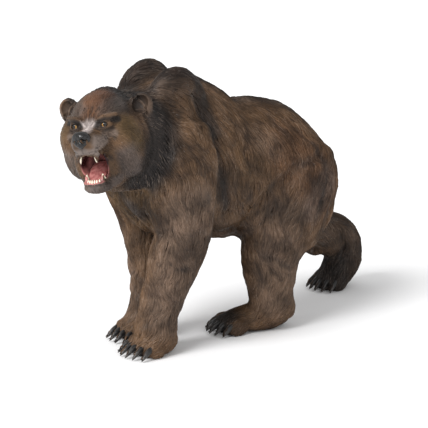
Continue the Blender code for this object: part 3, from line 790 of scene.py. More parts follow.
# Which way the fur is combed: place, where, direction, how far it holds; y is also mirrored if both
combs = (
    ("head", (-20, 0, 4), (1, 0, 0.25), 5, False),
    ("head", (-13, 0, 8), (1, 0, 1.1), 5, False),
    ("head", (-6, 0, 14), (1, 0, 0.5), 6, False),
    ("head", (3, 0, 18), (1, 0, 0), 7, False),
    ("head", (-16, 5, 1), (1, 0.3, -0.15), 5, True),
    ("head", (-9, 8, 3), (1, 0.4, -0.2), 5, True),
    ("head", (-4, 11, -3), (0.7, 0.2, -0.9), 6, True),
    ("head", (-3, 9, -11), (0.8, 0, -0.8), 6, True),
    ("head", (3, 13, 3), (0.8, 0.2, -0.6), 6, True),
    ("head", (-13, 0, -15), (1, 0, -0.3), 5, False),
    ("head", (-4, 0, -17), (1, 0, -0.5), 7, False),
    ("figure", (-10, 0, 92), (1, 0, 0.3), 10, False),
    ("figure", (4, 10, 97), (1, 0.25, 0.1), 9, True),
    ("figure", (12, 0, 94), (1, 0, -0.2), 9, False),
    ("figure", (20, 18, 84), (0.6, 0.2, -1), 11, True),
    ("figure", (0, 20, 78), (0.8, 0.2, -0.9), 10, True),
    ("figure", (6, 25, 62), (0.12, 0, -1), 12, True),
    ("figure", (30, 22, 66), (0.2, 0, -1), 13, True),
    ("figure", (38, 22, 56), (0.05, 0, -1), 9, True),
    ("figure", (40, 10, 84), (0.6, 0.3, -0.8), 12, True),
    ("figure", (60, 14, 74), (0.35, 0.3, -1), 12, True),
    ("figure", (82, 8, 66), (0.35, 0.1, -1), 12, True),
    ("figure", (56, 22, 46), (-0.75, 0, -1), 12, True),
    ("figure", (76, 18, 54), (-0.5, 0, -1), 11, True),
    ("figure", (40, 0, 34), (1, 0, -0.25), 14, False),
    ("figure", (-12, 0, 56), (0.3, 0, -1), 13, False),
    ("figure", (4, 14, 30), (0.1, 0, -1), 14, True),
    ("figure", (54, 16, 28), (-0.1, 0, -1), 11, True),
    ("figure", (100, 12, 26), (0.95, 0, -0.5), 10, False),
    ("figure", (112, 10, 12), (-0.15, 0, -1), 9, False),
    ("figure", (-6, -8, 7), (-1, 0.1, -0.55), 7, False),
    ("figure", (4, 10, 7), (-1, 0, -0.55), 6, False),
    ("figure", (38, -6, 6), (-1, 0.3, -0.4), 8, False),
    ("figure", (52, -11, 8), (-0.6, 0.2, -0.8), 7, False),
    ("figure", (102, 9, 5), (-1, 0, -0.4), 6, False),
)

# Each coat piece: the nodes whose fur it is, and the axis that its map is unwrapped about
coatPieces = {
    "coatHead": (("head", "jaw", "nose", "ear_left", "ear_right"), (-14, -5, 74), (1, 0, 0)),
    "coatNeck": (("neck",), (-4, -2, 72), (1, 0, 0)),
    "coatChest": (("chest",), (14, 0, 64), (1, 0, 0)),
    "coatBelly": (("belly",), (44, 0, 58), (1, 0, 0)),
    "coatRump": (("rump", "tail"), (76, 0, 56), (1, 0, 0)),
    "coatForelegLeft": (("upper_foreleg_left", "forearm_left", "forepaw_left"), (6, -13, 40), (0, 0, 1)),
    "coatForelegRight": (("upper_foreleg_right", "forearm_right", "forepaw_right"), (14, 12, 40), (0, 0, 1)),
    "coatHindlegLeft": (("thigh_left", "shank_left", "hindpaw_left"), (56, -13, 40), (0, 0, 1)),
    "coatHindlegRight": (("thigh_right", "shank_right", "hindpaw_right"), (90, 12, 34), (0.7, 0, -0.7)),
}


# A flat lock, one along and one across, whose rows of points go on the stops of its line
def makeLock(name, ridges, sections, bend, sway, place):
    across = 2 * ridges + 1
    points = []
    crests = []
    for k in range(sections):
        along = k / sections
        width = math.sin(math.pi * (0.2 + 0.8 * along)) ** 0.7
        rise = math.sin(math.pi * (0.04 + 0.86 * along))
        middle = bend * along**2 + sway * math.sin(2 * math.pi * along)
        for i in range(across):
            side = 2 * i / (across - 1) - 1
            edge = abs(side) > 0.99
            # A lock's sunk edges get no crest and its valleys a low one, so the paint darkens there as painted shade
            crest = 0.0 if edge else (1.0 - 0.2 * abs(side) if i % 2 else coatShape["valley"])
            height = -coatShape["sunk"] if edge else rise * crest
            points.append((along, 0.5 * width * side + middle, height))
            crests.append(crest)
    points.append((1.0, bend, -0.1))
    crests.append(0.5)
    tip = len(points) - 1
    faces = []
    for k in range(sections - 1):
        first = k * across
        for i in range(across - 1):
            a = first + i
            faces.append((a, a + 1, a + 1 + across, a + across))
        faces.append((first, first + across, first + 2 * across - 1, first + across - 1))
    last = (sections - 1) * across
    for i in range(across - 1):
        faces.append((last + i, last + i + 1, tip))
    faces.append((last, tip, last + across - 1))
    faces.append(tuple(range(across)))
    mesh = meshFrom(name, points, faces)
    values = np.array(points)
    storeValues(mesh, "stop", np.round(values[:, 0] * sections), "INT")
    storeValues(mesh, "across", values[:, 1])
    storeValues(mesh, "height", values[:, 2])
    storeValues(mesh, "crest", crests)
    patch = np.column_stack([values[:, 0], values[:, 1] + 0.5, 0 * values[:, 0]])
    storeValues(mesh, "patch", patch, "FLOAT_VECTOR")
    storeValues(mesh, "strand", patch, "FLOAT_VECTOR")
    lock = bpy.data.objects.new(name, mesh)
    place.objects.link(lock)


def scatterTree():
    tree, start, end = newTree(
        "scatterRoots",
        "GeometryNodeTree",
        (
            ("Skin", "NodeSocketGeometry", None),
            ("Spacing", "NodeSocketFloat", 0.001),
            ("Cover", "NodeSocketString", ""),
            ("Seed", "NodeSocketInt", 0),
        ),
        (("Roots", "NodeSocketGeometry"),),
    )
    cover = addNode(tree, "GeometryNodeInputNamedAttribute", {"Name": start["Cover"]}, data_type="FLOAT")
    squared = addNode(tree, "ShaderNodeMath", {0: start["Spacing"], 1: start["Spacing"]}, operation="MULTIPLY")
    density = addNode(tree, "ShaderNodeMath", {0: 1.4, 1: squared.outputs[0]}, operation="DIVIDE")
    roots = addNode(
        tree,
        "GeometryNodeDistributePointsOnFaces",
        {
            "Mesh": start["Skin"],
            "Distance Min": start["Spacing"],
            "Density Max": density.outputs[0],
            "Density Factor": cover.outputs["Attribute"],
            "Seed": start["Seed"],
        },
        distribute_method="POISSON",
    )
    named = addNode(
        tree,
        "GeometryNodeStoreNamedAttribute",
        {"Geometry": roots.outputs["Points"], "Name": "skinNormal", "Value": roots.outputs["Normal"]},
        data_type="FLOAT_VECTOR",
        domain="POINT",
    )
    corners = addNode(tree, "GeometryNodePointsToVertices", {"Points": named.outputs["Geometry"]})
    tree.links.new(corners.outputs["Mesh"], end["Roots"])
    return tree


# Sets a lock on each root, shapes it on the stops of its line and gives it its place on the map
def layTree():
    tree, start, end = newTree(
        "layLocks",
        "GeometryNodeTree",
        (
            ("Roots", "NodeSocketGeometry", None),
            ("Locks", "NodeSocketCollection", None),
            ("Lines", "NodeSocketObject", None),
            ("Stops", "NodeSocketInt", 7),
            ("Patch", "NodeSocketFloat", 0.003),
            ("Material", "NodeSocketMaterial", None),
        ),
        (("Coat", "NodeSocketGeometry"),),
    )

    def named(name, kind):
        node = addNode(tree, "GeometryNodeInputNamedAttribute", {"Name": name}, data_type=kind)
        return node.outputs["Attribute"]

    def vectorMath(kind, first, second):
        node = addNode(tree, "ShaderNodeVectorMath", {0: first}, operation=kind)
        tree.links.new(second, node.inputs["Scale"] if kind == "SCALE" else node.inputs[1])
        return node.outputs["Vector"]

    def product(first, second):
        return addNode(tree, "ShaderNodeMath", {0: first, 1: second}, operation="MULTIPLY").outputs[0]

    locks = addNode(
        tree,
        "GeometryNodeCollectionInfo",
        {"Collection": start["Locks"], "Separate Children": True, "Reset Children": True},
    )
    planted = addNode(
        tree,
        "GeometryNodeInstanceOnPoints",
        {
            "Points": start["Roots"],
            "Instance": locks.outputs["Instances"],
            "Pick Instance": True,
            "Instance Index": named("pick", "INT"),
        },
    )
    real = addNode(tree, "GeometryNodeRealizeInstances", {"Geometry": planted.outputs["Instances"]})
    lines = addNode(tree, "GeometryNodeObjectInfo", {"Object": start["Lines"]}, transform_space="RELATIVE")
    first = product(named("root", "INT"), start["Stops"])
    stop = addNode(tree, "ShaderNodeMath", {0: first, 1: named("stop", "INT")}, operation="ADD")

    def atStop(value, kind="FLOAT_VECTOR"):
        node = addNode(
            tree,
            "GeometryNodeSampleIndex",
            {"Geometry": lines.outputs["Geometry"], "Index": stop.outputs[0]},
            data_type=kind,
            domain="POINT",
        )
        tree.links.new(value, node.inputs["Value"])
        return node.outputs["Value"]

    size = addNode(tree, "ShaderNodeSeparateXYZ", {"Vector": named("size", "FLOAT_VECTOR")})
    across = vectorMath("SCALE", atStop(named("side", "FLOAT_VECTOR")), product(named("across", "FLOAT"), size.outputs["Y"]))
    lift = vectorMath("SCALE", atStop(named("up", "FLOAT_VECTOR")), product(named("height", "FLOAT"), size.outputs["Z"]))
    here = addNode(tree, "GeometryNodeInputPosition").outputs["Position"]
    place = vectorMath("ADD", vectorMath("ADD", atStop(here), across), lift)
    painted = addNode(
        tree,
        "GeometryNodeStoreNamedAttribute",
        {
            "Geometry": real.outputs["Geometry"],
            "Name": "paint",
            "Value": atStop(named("paint", "FLOAT_COLOR"), "FLOAT_COLOR"),
        },
        data_type="FLOAT_COLOR",
        domain="POINT",
    )
    shaped = addNode(
        tree, "GeometryNodeSetPosition", {"Geometry": painted.outputs["Geometry"], "Position": place}
    )
    patch = vectorMath("SCALE", named("patch", "FLOAT_VECTOR"), start["Patch"])
    mapped = addNode(
        tree,
        "GeometryNodeStoreNamedAttribute",
        {
            "Geometry": shaped.outputs["Geometry"],
            "Name": "OFBake",
            "Value": vectorMath("ADD", named("mapRoot", "FLOAT_VECTOR"), patch),
        },
        data_type="FLOAT2",
        domain="CORNER",
    )
    flow = mapped.outputs["Geometry"]
    for name in ("mapRoot", "patch", "size", "height", "across", "stop", "root", "pick"):
        flow = addNode(tree, "GeometryNodeRemoveAttribute", {"Geometry": flow, "Name": name}).outputs["Geometry"]
    done = addNode(tree, "GeometryNodeSetMaterial", {"Geometry": flow, "Material": start["Material"]})
    tree.links.new(done.outputs["Geometry"], end["Coat"])
    return tree


def combedLie(points, normals):
    inHead = toHead(points)
    lie = np.zeros_like(points) + np.array((0.5, 0, -0.5)) * 1e-3
    for place, where, direction, reach, both in combs:
        for side in (1, -1) if both else (1,):
            x, y, z = where
            dx, dy, dz = direction
            toComb = (inHead if place == "head" else points) - np.array((x, y * side, z))
            weight = np.exp(-np.sum(toComb**2, axis=1) / (2 * reach * reach))
            comb = np.array((dx, dy * side, dz), float)
            comb /= np.linalg.norm(comb)
            if place == "head":
                comb = headAxes @ comb
                weight *= 3
            lie += weight[:, None] * comb
    flat = lie - np.sum(lie * normals, axis=1)[:, None] * normals
    return flat / np.maximum(np.linalg.norm(flat, axis=1), 1e-9)[:, None]


# Turns the lie to and fro in waves, as moulded fur runs
def waver(points, lie, normals, stray):
    x, y, z = points.T
    wave = np.sin(x * 0.42 + z * 0.31 + np.sin(z * 0.17 + y * 0.2) * 2.0)
    wave += 0.6 * np.sin(y * 0.55 - z * 0.47 + np.sin(x * 0.23) * 2.0 + 1.3)
    amount = coatShape["waver"] * (1 - 0.75 * headShare(points)) * wave * 0.6
    angle = amount + stray
    sideways = np.cross(normals, lie)
    return lie * np.cos(angle)[:, None] + sideways * np.sin(angle)[:, None]


def lockSizes(points, draw):
    inHead = toHead(points)
    body, face, paw = (np.array(coatShape[name]) for name in ("size", "faceSize", "pawSize"))
    sizes = np.tile(body, (len(points), 1))
    sizes += (paw - sizes) * pawShare(points)[:, None]
    sizes += (face - sizes) * headShare(points)[:, None]
    for place, path, radius, size in coatZones:
        where = inHead if place == "head" else points
        share = easeIn((1 - pathDistance(where, path) / radius) * 1.5)
        sizes += (np.array(size) - sizes) * share[:, None]
    return sizes * draw.uniform(0.78, 1.22, (len(points), 3))


def nodesAt(worldPoints):
    names = [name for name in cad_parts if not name.startswith(("eye_", "tongue"))]
    clouds = [readPoints(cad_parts[name].data) for name in names]
    tree = kdtree.KDTree(sum(len(cloud) for cloud in clouds))
    owners = []
    for index, cloud in enumerate(clouds):
        for point in cloud:
            tree.insert(point, len(owners))
            owners.append(index)
    tree.balance()
    return np.array([names[owners[tree.find(point)[1]]] for point in worldPoints])


def unwrapAbout(points, middle, axis):
    axis = np.array(axis, float)
    axis /= np.linalg.norm(axis)
    first = np.cross(axis, (0.0, 1.0, 0.0))
    first /= np.linalg.norm(first)
    second = np.cross(axis, first)
    offset = points - np.array(middle, float)
    around = np.arctan2(offset @ second, offset @ first)
    along = offset @ axis
    spots = np.column_stack([around, along])
    low = spots.min(axis=0)
    spread = (spots - low) / np.maximum(spots.max(axis=0) - low, 1e-6)
    return np.column_stack([0.01 + spread * 0.97, np.zeros(len(points))])


# The line of each lock, stop by stop over the hide
def lockLines(hide, roots, normals, lengths, stops, stray):
    tree, corners, cornerNormals = hide
    spot, up = roots, normals
    spots, sides, ups = [], [], []
    for _ in range(stops):
        lie = waver(spot, combedLie(spot, up), up, stray)
        spots.append(spot)
        sides.append(np.cross(up, lie))
        ups.append(up)
        ahead = spot + lie * (lengths / (stops - 1))[:, None]
        found = [tree.find_nearest(point) for point in ahead.tolist()]
        spot = np.array([place for place, _, _, _ in found])
        up = cornerNormals[corners[[face for _, _, face, _ in found]]].sum(axis=1)
        up /= np.linalg.norm(up, axis=1)[:, None]
    return tuple(np.stack(values, axis=1) for values in (spots, sides, ups))


def hideSearch(mesh):
    mesh.calc_loop_triangles()
    corners = np.empty(len(mesh.loop_triangles) * 3, np.int32)
    mesh.loop_triangles.foreach_get("vertices", corners)
    corners = corners.reshape(-1, 3)
    points = toFigure(readPoints(mesh))
    return bvhtree.BVHTree.FromPolygons(points.tolist(), corners.tolist()), corners, readNormals(mesh)


def lineObject(name, spots, sides, ups, paint):
    mesh = bpy.data.meshes.new(name)
    mesh.from_pydata(toWorld(spots.reshape(-1, 3)).tolist(), [], [])
    storeValues(mesh, "side", sides.reshape(-1, 3), "FLOAT_VECTOR")
    storeValues(mesh, "up", ups.reshape(-1, 3), "FLOAT_VECTOR")
    storePaint(mesh, paint.reshape(-1, 3))
    return bpy.data.objects.new(name, mesh)


def makeCoat(skin, material):
    scatter = scatterTree()
    lay = layTree()
    hide = hideSearch(skin.data)
    coat = {}
    for index, grade in enumerate(("coarse", "fine")):
        shape = coatShape[grade]
        stops = shape["sections"] + 1
        place = bpy.data.collections.new(grade + "Locks")
        for number, (bend, sway) in enumerate(coatShape["bends"]):
            makeLock(f"{grade}Lock{number}", shape["ridges"], shape["sections"], bend, sway, place)
        rootsPiece = newObject(grade + "Roots", skin.data.copy())
        values = {"Spacing": shape["spacing"] * mm, "Cover": grade + "Cover", "Seed": coatShape["seed"] + index}
        roots = runTree(rootsPiece, scatter, values)
        draw = np.random.default_rng(coatShape["seed"] + index)
        world = readPoints(roots)
        points = toFigure(world)
        normals = readValues(roots, "skinNormal")
        bpy.data.objects.remove(rootsPiece)
        sizes = lockSizes(points, draw)
        stray = draw.normal(0, coatShape["stray"], len(points))
        spots, sides, ups = lockLines(hide, points, normals, sizes[:, 0], stops, stray)
        picks = draw.integers(0, len(coatShape["bends"]), len(points))
        streaks = draw.uniform(0, 1, len(points))
        paint = paintAt(spots.reshape(-1, 3)).reshape(spots.shape)
        owners = nodesAt(world)
        print(grade, "locks", len(points))
        for name, (nodes, middle, axis) in coatPieces.items():
            chosen = np.flatnonzero(np.isin(owners, nodes))
            if not len(chosen):
                continue
            seedMesh = bpy.data.meshes.new("roots")
            seedMesh.from_pydata(world[chosen].tolist(), [], [])
            storeValues(seedMesh, "size", sizes[chosen] * mm, "FLOAT_VECTOR")
            storeValues(seedMesh, "root", np.arange(len(chosen)), "INT")
            storeValues(seedMesh, "pick", picks[chosen], "INT")
            storeValues(seedMesh, "streak", streaks[chosen])
            storeValues(seedMesh, "mapRoot", unwrapAbout(points[chosen], middle, axis), "FLOAT_VECTOR")
            lines = lineObject("lines", spots[chosen], sides[chosen], ups[chosen], paint[chosen])
            piece = newObject(name + grade.capitalize(), seedMesh)
            values = {"Locks": place, "Lines": lines, "Stops": stops, "Patch": coatShape["patch"]}
            runTree(piece, lay, values | {"Material": material})
            bpy.data.objects.remove(lines)
            coat.setdefault(name, []).append(piece)
    for name, pieces in coat.items():
        piece = joined(name, pieces)
        keepInBox(piece.data)
        finishPiece(piece, material)
        print(name, len(piece.data.polygons), "faces")


def joined(name, pieces):
    if len(pieces) > 1:
        with bpy.context.temp_override(active_object=pieces[0], selected_editable_objects=pieces):
            bpy.ops.object.join()
    pieces[0].name = name
    pieces[0].data.name = name
    return pieces[0]


# Paint over the relief, with painted shade darkening its creases and, on its ridges, dry-brush paint lightened into
# a painted highlight

def reliefShadeAndHighlight():
    tree, start, end = newTree(
        "reliefShadeAndHighlight",
        "ShaderNodeTree",
        (
            ("Paint", "NodeSocketColor", None),
            ("Crest", "NodeSocketFloat", 0.5),
            ("Streak", "NodeSocketFloat", 0.5),
            ("Strand", "NodeSocketVector", None),
            ("Crease Shade", "NodeSocketFloat", 0.6),
            ("Ridge Highlight", "NodeSocketFloat", 0.5),
            ("Ridge Highlight Colour", "NodeSocketColor", (0.23, 0.18, 0.145, 1.0)),
        ),
        (("Color", "NodeSocketColor"), ("Roughness", "NodeSocketFloat"), ("Height", "NodeSocketFloat")),
    )

    def ranged(value, low, high, newLow, newHigh):
        node = addNode(
            tree,
            "ShaderNodeMapRange",
            {"Value": value, "From Min": low, "From Max": high, "To Min": newLow, "To Max": newHigh},
            interpolation_type="SMOOTHSTEP",
        )
        return node.outputs["Result"]

    def product(first, second):
        return addNode(tree, "ShaderNodeMath", {0: first, 1: second}, operation="MULTIPLY").outputs[0]

    def mixed(share, first, second):
        node = addNode(tree, "ShaderNodeMix", {"Factor": share, 6: first, 7: second}, data_type="RGBA")
        return node.outputs[2]

    place = addNode(tree, "ShaderNodeTexCoord").outputs["Object"]
    patches = addNode(tree, "ShaderNodeTexNoise", {"Vector": place, "Scale": 110.0, "Detail": 4.0})
    grain = addNode(tree, "ShaderNodeTexNoise", {"Vector": place, "Scale": 1500.0, "Detail": 2.0})
    strand = addNode(tree, "ShaderNodeSeparateXYZ", {"Vector": start["Strand"]})
    hairSpot = addNode(
        tree,
        "ShaderNodeCombineXYZ",
        {
            "X": product(strand.outputs["X"], 1.4),
            "Y": product(strand.outputs["Y"], 4.2),
            "Z": product(start["Streak"], 37.0),
        },
    )
    hair = addNode(tree, "ShaderNodeTexNoise", {"Vector": hairSpot.outputs[0], "Scale": 1.0, "Detail": 2.0})
    tone = ranged(patches.outputs["Fac"], 0.3, 0.7, 0.58, 1.42)
    lockTone = ranged(start["Streak"], 0.0, 1.0, 0.84, 1.16)
    hairTone = ranged(hair.outputs["Fac"], 0.3, 0.7, 0.66, 1.3)
    toned = addNode(tree, "ShaderNodeVectorMath", {0: start["Paint"]}, operation="SCALE")
    tree.links.new(product(product(tone, lockTone), hairTone), toned.inputs["Scale"])
    # Painted shade: where the crest is low, in the creases and between the locks, the paint darkens towards black
    low = ranged(start["Crest"], 0.0, 0.6, 1.0, 0.0)
    creaseShaded = mixed(product(low, start["Crease Shade"]), toned.outputs["Vector"], (0.010, 0.007, 0.006, 1.0))
    # Painted highlight: a pale dry-brush colour on the highest crests, standing in for sheen as well as paint
    high = ranged(start["Crest"], 0.55, 1.0, 0.0, 1.0)
    fineHair = ranged(hair.outputs["Fac"], 0.54, 0.68, 0.0, 1.0)
    patchy = ranged(patches.outputs["Fac"], 0.4, 0.62, 0.1, 1.0)
    ridgeHighlight = product(product(high, fineHair), product(patchy, start["Ridge Highlight"]))
    tree.links.new(mixed(ridgeHighlight, creaseShaded, start["Ridge Highlight Colour"]), end["Color"])
    tree.links.new(ranged(patches.outputs["Fac"], 0.3, 0.7, 0.34, 0.52), end["Roughness"])
    height = addNode(
        tree, "ShaderNodeMath", {0: hair.outputs["Fac"], 1: product(grain.outputs["Fac"], 0.35)}, operation="ADD"
    )
    tree.links.new(height.outputs[0], end["Height"])
    return tree


def newMaterial(name, **values):
    material = bpy.data.materials.new(name)
    material.use_nodes = True
    shader = material.node_tree.nodes["Principled BSDF"]
    for socket, value in values.items():
        shader.inputs[socket.replace("_", " ")].default_value = value
    return material, material.node_tree, shader


def attributeOf(tree, name):
    return addNode(tree, "ShaderNodeAttribute", attribute_name=name)


def addBump(tree, shader, height, distance, strength=1.0):
    bump = addNode(tree, "ShaderNodeBump", {"Strength": strength, "Distance": distance, "Height": height})
    tree.links.new(bump.outputs["Normal"], shader.inputs["Normal"])


def furMaterial(name, relief, creaseShadeAmount, ridgeHighlightAmount):
    material, tree, shader = newMaterial(name, Specular_IOR_Level=0.2)
    group = addNode(tree, "ShaderNodeGroup", node_tree=relief)
    for label, attribute, output in (
        ("Paint", "paint", "Color"),
        ("Crest", "crest", "Fac"),
        ("Streak", "streak", "Fac"),
        ("Strand", "strand", "Vector"),
    ):
        tree.links.new(attributeOf(tree, attribute).outputs[output], group.inputs[label])
    # How much painted shade the creases take, and how much painted highlight the ridges take
    group.inputs["Crease Shade"].default_value = creaseShadeAmount
    group.inputs["Ridge Highlight"].default_value = ridgeHighlightAmount
    tree.links.new(group.outputs["Color"], shader.inputs["Base Color"])
    addBump(tree, shader, group.outputs["Height"], 0.0002, 0.9)
    return material, tree, shader, group


def skinMaterial(relief):
    material, tree, shader, group = furMaterial("paintedHide", relief, 0.5, 0.3)
    wet = attributeOf(tree, "wet").outputs["Fac"]
    shine = addNode(tree, "ShaderNodeMapRange", {"Value": wet, "To Min": 0.52, "To Max": 0.22})
    tree.links.new(shine.outputs["Result"], shader.inputs["Roughness"])
    return material


def coatMaterial(relief):
    material, tree, shader, group = furMaterial("paintedCoat", relief, 0.85, 0.8)
    tree.links.new(group.outputs["Roughness"], shader.inputs["Roughness"])
    return material


# Teeth and claws: one curved horn, planted many times

hornShape = {"sides": 14, "rings": 9}

# Teeth on each side, in the head's frame: root, length, radius, lean backwards
teeth = {
    "upper": (
        ((-18.2, 0.6, -1.9), 1.1, 0.5, 0.1),
        ((-18.0, 1.6, -1.8), 1.2, 0.5, 0.1),
        ((-17.2, 2.7, -1.5), 4.5, 0.85, 0.2),
    ),
    "lower": (
        ((-13.9, 0.4, -12.6), 1.5, 0.44, 0.05),
        ((-13.8, 1.15, -12.6), 1.5, 0.44, 0.05),
        ((-13.4, 1.9, -12.5), 1.5, 0.44, 0.05),
        ((-12.6, 2.7, -12.5), 3.3, 0.75, 0.2),
        ((-10.8, 2.8, -11.9), 1.6, 0.6, 0.1),
    ),
}

# Paws as in the solids: the heel's and the toes' ends of the sole, half width, height, claw reach
paws = (
    ((10.0, -8.0), (-6.0, -6.6), 7.6, 10.5, 3.4),
    ((19.0, 9.8), (3.0, 9.6), 7.6, 10.5, 3.4),
    ((61.0, -12.6), (33.5, -4.8), 7.5, 9.5, 2.4),
    ((114.6, 11.6), (101.3, 11.2), 7.0, 9.5, 2.4),
)
toeShape = {"count": 5, "halfLength": 4.2, "halfWidth": 2.1, "arc": 1.8, "ahead": 1.0, "splay": 10}
clawShape = {"root": 2.4, "height": 3.7, "drop": 3.3, "radius": 1.3, "narrow": 0.74}


# A horn along +X, one long and one across, whose tip drops by the bend
def makeHorn(name, bend, blunt, place):
    sides, rings = hornShape["sides"], hornShape["rings"]
    points = []
    along = []
    for k in range(rings):
        share = k / rings
        radius = 0.5 * (1 - share**blunt) ** 0.75
        for i in range(sides):
            angle = 2 * math.pi * i / sides
            points.append((share, radius * math.cos(angle), radius * math.sin(angle) - bend * share**2))
            along.append(share)
    points.append((1.0, 0.0, -bend))
    along.append(1.0)
    tip = len(points) - 1
    faces = [tuple(range(sides))]
    for k in range(rings - 1):
        for i in range(sides):
            a = k * sides + i
            b = k * sides + (i + 1) % sides
            faces.append((a, b, b + sides, a + sides))
    for i in range(sides):
        faces.append(((rings - 1) * sides + i, (rings - 1) * sides + (i + 1) % sides, tip))
    mesh = meshFrom(name, points, faces)
    storeValues(mesh, "along", along)
    place.objects.link(bpy.data.objects.new(name, mesh))


def plantTree():
    tree, start, end = newTree(
        "plantHorns",
        "GeometryNodeTree",
        (
            ("Roots", "NodeSocketGeometry", None),
            ("Horns", "NodeSocketCollection", None),
            ("Material", "NodeSocketMaterial", None),
        ),
        (("Horns", "NodeSocketGeometry"),),
    )

    def named(name):
        node = addNode(tree, "GeometryNodeInputNamedAttribute", {"Name": name}, data_type="FLOAT_VECTOR")
        return node.outputs["Attribute"]

    horns = addNode(
        tree,
        "GeometryNodeCollectionInfo",
        {"Collection": start["Horns"], "Separate Children": True, "Reset Children": True},
    )
    turn = addNode(
        tree,
        "FunctionNodeAxesToRotation",
        {"Primary Axis": named("ahead"), "Secondary Axis": named("over")},
        primary_axis="X",
        secondary_axis="Z",
    )
    planted = addNode(
        tree,
        "GeometryNodeInstanceOnPoints",
        {
            "Points": start["Roots"],
            "Instance": horns.outputs["Instances"],
            "Rotation": turn.outputs["Rotation"],
            "Scale": named("size"),
        },
    )
    flow = addNode(tree, "GeometryNodeRealizeInstances", {"Geometry": planted.outputs["Instances"]}).outputs[0]
    for name in ("ahead", "over", "size"):
        flow = addNode(tree, "GeometryNodeRemoveAttribute", {"Geometry": flow, "Name": name}).outputs["Geometry"]
    done = addNode(tree, "GeometryNodeSetMaterial", {"Geometry": flow, "Material": start["Material"]})
    tree.links.new(done.outputs["Geometry"], end["Horns"])
    return tree


def plant(name, tree, rows, bend, blunt, material):
    place = bpy.data.collections.new(name + "Horn")
    makeHorn(name + "Horn", bend, blunt, place)
    roots, ahead, over, sizes = (np.array(column, float) for column in zip(*rows))
    mesh = bpy.data.meshes.new(name)
    mesh.from_pydata(toWorld(roots).tolist(), [], [])
    storeValues(mesh, "ahead", ahead, "FLOAT_VECTOR")
    storeValues(mesh, "over", over, "FLOAT_VECTOR")
    storeValues(mesh, "size", sizes * mm, "FLOAT_VECTOR")
    piece = newObject(name, mesh)
    runTree(piece, tree, {"Horns": place, "Material": material})
    keepInBox(piece.data)
    return finishPiece(piece, material)


def toothRows(row, way):
    for (x, y, z), length, radius, lean in row:
        for side in (-1, 1):
            root = fromHead([(x - 0.25 * lean * length, y * side, z - way * 0.3 * length)])[0]
            ahead = headAxes @ np.array((lean, 0.0, float(way)))
            over = headAxes @ np.array((-1.0, 0.0, 0.0))
            size = (length * 1.3, radius * 2, radius * 2)
            yield root, ahead, over, size


def clawRows():
    for heel, toe, halfWidth, height, reach in paws:
        heading = np.array(toe) - np.array(heel)
        heading /= np.linalg.norm(heading)
        for k in range(toeShape["count"]):
            spread = 2 * k / (toeShape["count"] - 1) - 1
            back = toeShape["ahead"] - toeShape["arc"] * spread**2 - toeShape["halfLength"]
            aside = spread * (halfWidth - toeShape["halfWidth"])
            angle = math.radians(toeShape["splay"] * spread)
            left = np.array((-heading[1], heading[0]))
            ahead = heading * math.cos(angle) + left * math.sin(angle)
            spot = np.array(toe) + heading * back + left * aside
            spot = spot + ahead * (toeShape["halfLength"] - clawShape["root"])
            length = reach + clawShape["root"] + 0.2
            yield (
                (*spot, clawShape["height"]),
                (*ahead, 0.0),
                (0.0, 0.0, 1.0),
                (length, clawShape["radius"] * 2 * clawShape["narrow"], clawShape["radius"] * 2),
            )


def toothMaterial():
    material, tree, shader = newMaterial("creamTooth", Roughness=0.3, Coat_Weight=0.3, Coat_Roughness=0.15)
    along = attributeOf(tree, "along").outputs["Fac"]
    ramp = addNode(tree, "ShaderNodeValToRGB", {"Fac": along})
    ramp.color_ramp.elements[0].color = (0.30, 0.19, 0.10, 1)
    ramp.color_ramp.elements[0].position = 0.22
    ramp.color_ramp.elements[1].color = (0.80, 0.72, 0.56, 1)
    ramp.color_ramp.elements[1].position = 0.5
    tree.links.new(ramp.outputs["Color"], shader.inputs["Base Color"])
    return material


def clawMaterial():
    material, tree, shader = newMaterial("blackClaw", Roughness=0.34, Specular_IOR_Level=0.4)
    along = attributeOf(tree, "along").outputs["Fac"]
    place = addNode(tree, "ShaderNodeTexCoord").outputs["Object"]
    grain = addNode(tree, "ShaderNodeTexNoise", {"Vector": place, "Scale": 1400.0, "Detail": 3.0})
    mixed = addNode(
        tree, "ShaderNodeMath", {0: along, 1: grain.outputs["Fac"]}, operation="MULTIPLY"
    )
    ramp = addNode(tree, "ShaderNodeValToRGB", {"Fac": mixed.outputs[0]})
    ramp.color_ramp.elements[0].color = (0.012, 0.011, 0.011, 1)
    ramp.color_ramp.elements[0].position = 0.25
    ramp.color_ramp.elements[1].color = (0.09, 0.08, 0.072, 1)
    ramp.color_ramp.elements[1].position = 0.62
    tree.links.new(ramp.outputs["Color"], shader.inputs["Base Color"])
    addBump(tree, shader, grain.outputs["Fac"], 0.00006, 0.7)
    return material


# Eyes, nose and tongue

eyeShape = {
    "radius": 1.46,
    "gaze": (-1.0, 0.34, -0.04),
    "pupil": 0.42,
    "iris": 0.80,
    "lidThickness": (1.02, 1.16),  # inner and outer radius, of the eye's
    "lidReach": (80, 72),  # degrees, sideways and up or down
    "upperLid": (20, -9),  # degrees over the gaze in the middle, and more towards the outer corner
    "lowerLid": (-26, -4),
    "corner": -4,
}
noseShape = {
    "middle": (-20.9, 0.0, 1.9),
    "radii": (2.5, 3.0, 2.95),
    "squareness": 2.4,
    "levels": (-1.0, -0.6, -0.1, 0.5, 1.0),  # from the bottom to the top
    "widths": (0.30, 0.62, 0.98, 1.05, 0.90),
    "under": 0.9,  # how far the bottom is set back
    "nostril": ((-23.3, 0.9, 1.9), (-23.1, 1.6, 1.3), (-22.4, 2.5, 1.5)),
    "nostrilRadius": 1.15,
    "nostrilDepth": -1.15,
    "groove": ((-23.6, 0, 2.6), (-23.2, 0, -1.6)),
    "grooveRadius": 0.55,
    "grooveDepth": -0.35,
}
